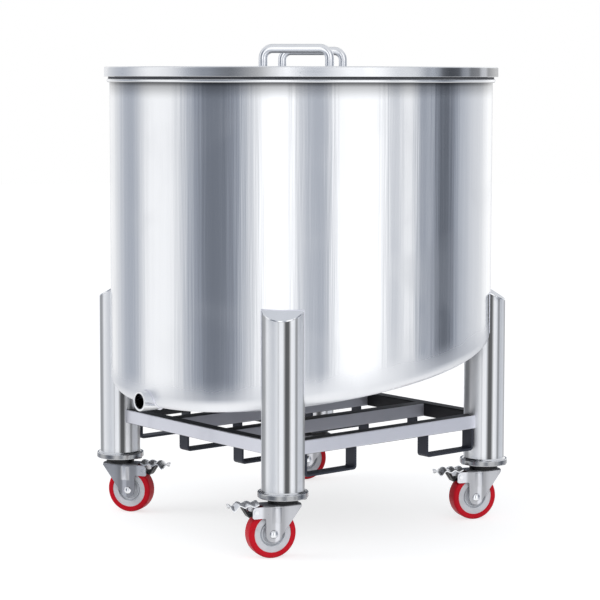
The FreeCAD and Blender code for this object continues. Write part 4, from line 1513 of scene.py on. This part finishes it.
class TANK_OT_build_stage(bpy.types.Operator):
    """Build the pale floor, the soft lights, the surroundings and the camera"""

    bl_idname = "tank.build_stage"
    bl_label = "Stage and Camera"

    def execute(self, context):
        settings = context.scene.tank_stage
        self.floor(settings)
        self.surroundings(settings)
        self.lamp("key_lamp", settings, settings.key_power, (-2.6, -3.4, 3.2), 2.6)
        self.lamp("fill_lamp", settings, settings.fill_power, (3.6, -1.2, 2.6), 2.4)
        self.camera(context, settings)
        context.scene.view_settings.view_transform = "Standard"
        return {"FINISHED"}

    def floor(self, settings):
        """A pale disc whose own light makes it white, with room for a faint shadow."""
        rings = [(reach, 0) for reach in (0, 1.5, 5, 14)]
        floor = drawn("floor", [revolved(rings, 96, closed=False)])
        finish = bpy.data.materials.new("pale_floor")
        finish.use_nodes = True
        tree = finish.node_tree
        tree.nodes.clear()
        result = tree.nodes.new("ShaderNodeOutputMaterial")
        matt = tree.nodes.new("ShaderNodeBsdfDiffuse")
        matt.inputs["Color"].default_value = (0.50, 0.50, 0.50, 1)
        glow = tree.nodes.new("ShaderNodeEmission")
        seen = self.seen(tree)
        tree.links.new(calculated(tree, "MULTIPLY", seen, settings.floor_light),
                       glow.inputs["Strength"])
        both = tree.nodes.new("ShaderNodeAddShader")
        tree.links.new(matt.outputs[0], both.inputs[0])
        tree.links.new(glow.outputs[0], both.inputs[1])
        tree.links.new(both.outputs[0], result.inputs["Surface"])
        floor.data.materials.append(finish)
        floor.visible_glossy = False

    def seen(self, tree):
        """1 on rays from the camera, in gloss and through glass, and 0 on the rest."""
        path = tree.nodes.new("ShaderNodeLightPath")
        either = calculated(tree, "MAXIMUM", path.outputs["Is Camera Ray"],
                            path.outputs["Is Glossy Ray"])
        return calculated(tree, "MAXIMUM", either, path.outputs["Is Transmission Ray"])

    def surroundings(self, settings):
        """White for the camera, lights and flags in gloss, and plain light for the rest.

        In gloss the upright bands fade to a plain ceiling above. Below the horizon they go
        on, paler, over the far floor and end in the bright floor near the object.
        """
        world = bpy.data.worlds.new("surroundings")
        bpy.context.scene.world = world
        world.use_nodes = True
        tree = world.node_tree
        tree.nodes.clear()
        result = tree.nodes.new("ShaderNodeOutputWorld")
        light = tree.nodes.new("ShaderNodeBackground")
        x, y, z = split(tree, tree.nodes.new("ShaderNodeTexCoord").outputs["Generated"])
        azimuth = calculated(tree, "DEGREES", calculated(tree, "ARCTAN2", y, x))
        viewpoint = math.degrees(settings.azimuth) - 90
        away = calculated(tree, "SUBTRACT", azimuth, viewpoint)
        from_viewpoint = calculated(tree, "WRAP", away, 180.0, -180.0)
        total = banded(tree, group_band(), from_viewpoint, ROOM_LEVEL, SOFTBOXES)
        above = spread(tree, z, CEILING_START, CEILING_END, 0.0, 1.0)
        below = spread(tree, z, FAR_FLOOR_START, FAR_FLOOR_END, 0.0, 1.0)
        near = spread(tree, z, NEAR_FLOOR_START, NEAR_FLOOR_END, 0.0, 1.0)
        ceiling = mixed(tree, above, total, CEILING_LEVEL)
        far = calculated(tree, "MULTIPLY_ADD", total, FAR_FLOOR_SHARE, FAR_FLOOR_LEVEL)
        gloss = mixed(tree, near, mixed(tree, below, ceiling, far), NEAR_FLOOR_LEVEL)
        path = tree.nodes.new("ShaderNodeLightPath")
        shown = mixed(tree, path.outputs["Is Glossy Ray"], settings.ambient, gloss)
        clear = calculated(tree, "MAXIMUM", path.outputs["Is Camera Ray"],
                           path.outputs["Is Transmission Ray"])
        level = mixed(tree, clear, shown, 1.0)
        tree.links.new(level, light.inputs["Strength"])
        tint = tree.nodes.new("ShaderNodeMix")
        tint.data_type = "RGBA"
        tree.links.new(spread(tree, level, 0.2, 1.0, 0.0, 1.0), tint.inputs["Factor"])
        tint.inputs["A"].default_value = (0.76, 0.84, 1.0, 1)
        tint.inputs["B"].default_value = (1, 1, 1, 1)
        tree.links.new(tint.outputs["Result"], light.inputs["Color"])
        tree.links.new(light.outputs[0], result.inputs["Surface"])

    def lamp(self, name, settings, power, place, size):
        """A large soft lamp that points at the aim height on the tank's axis."""
        light = bpy.data.lights.new(name, "AREA")
        light.energy = power
        light.size = size
        lamp = linked(name, light)
        back = unit(np.array(place) - np.array([0, 0, settings.aim]))
        lamp.matrix_world = looking(back, place)
        lamp.visible_glossy = settings.mirror_lamps

    def camera(self, context, settings):
        """The photograph's viewpoint."""
        data = bpy.data.cameras.new("camera")
        data.sensor_width = 36
        data.lens = data.sensor_width * settings.lens / FRAME_PIXELS
        data.shift_y = settings.shift
        data.clip_end = 100
        camera = linked("camera", data)
        context.scene.camera = camera
        azimuth, pitch = settings.azimuth, settings.pitch
        back = np.array([math.sin(azimuth) * math.cos(pitch), -math.cos(azimuth) * math.cos(pitch),
                         math.sin(pitch)])
        right = np.array([math.cos(azimuth), math.sin(azimuth), 0])
        place = np.array([0, 0, settings.aim]) + back * settings.distance + right * settings.aside
        camera.matrix_world = looking(back, place) @ Matrix.Rotation(settings.roll, 4, "Z")


def looking(back, place):
    """A matrix at a place whose -Z looks against back, with its X level."""
    right = unit(np.cross((0, 0, 1), back))
    up = np.cross(back, right)
    matrix = np.eye(4)
    matrix[:3, 0], matrix[:3, 1], matrix[:3, 2], matrix[:3, 3] = right, up, back, place
    return Matrix(matrix.tolist())


class TANK_PT_panel(bpy.types.Panel):
    """Buttons in the sidebar for the stage and for each group of pieces."""

    bl_label = "Storage Tank"
    bl_space_type = "VIEW_3D"
    bl_region_type = "UI"
    bl_category = "Storage Tank"

    def draw(self, context):
        for operator in OPERATORS:
            self.layout.operator(operator.bl_idname)


OPERATORS = (TANK_OT_build_stage, TANK_OT_build_skin, TANK_OT_build_lid, TANK_OT_build_legs,
             TANK_OT_build_frame, TANK_OT_build_casters)
SETTINGS = {"tank_sizes": TankSizes, "lid_sizes": LidSizes, "leg_sizes": LegSizes,
            "frame_sizes": FrameSizes, "caster_sizes": CasterSizes,
            "tank_finishes": TankFinishes, "tank_stage": StageSettings}


def register():
    """Adds the settings, the operators and the panel to Blender."""
    for kind in (*SETTINGS.values(), *OPERATORS, TANK_PT_panel):
        bpy.utils.register_class(kind)
    for name, kind in SETTINGS.items():
        setattr(bpy.types.Scene, name, PointerProperty(type=kind))


def unregister():
    """Takes them out again, in the opposite order."""
    for name in SETTINGS:
        delattr(bpy.types.Scene, name)
    for kind in (TANK_PT_panel, *reversed(OPERATORS), *reversed(SETTINGS.values())):
        bpy.utils.unregister_class(kind)


def main():
    """Builds the stage and every group of pieces."""
    register()
    bpy.ops.tank.build_stage()
    bpy.ops.tank.build_skin()
    bpy.ops.tank.build_lid()
    bpy.ops.tank.build_legs()
    bpy.ops.tank.build_frame()
    bpy.ops.tank.build_casters()
    bpy.context.view_layer.update()


if __name__ == "__main__":
    main()
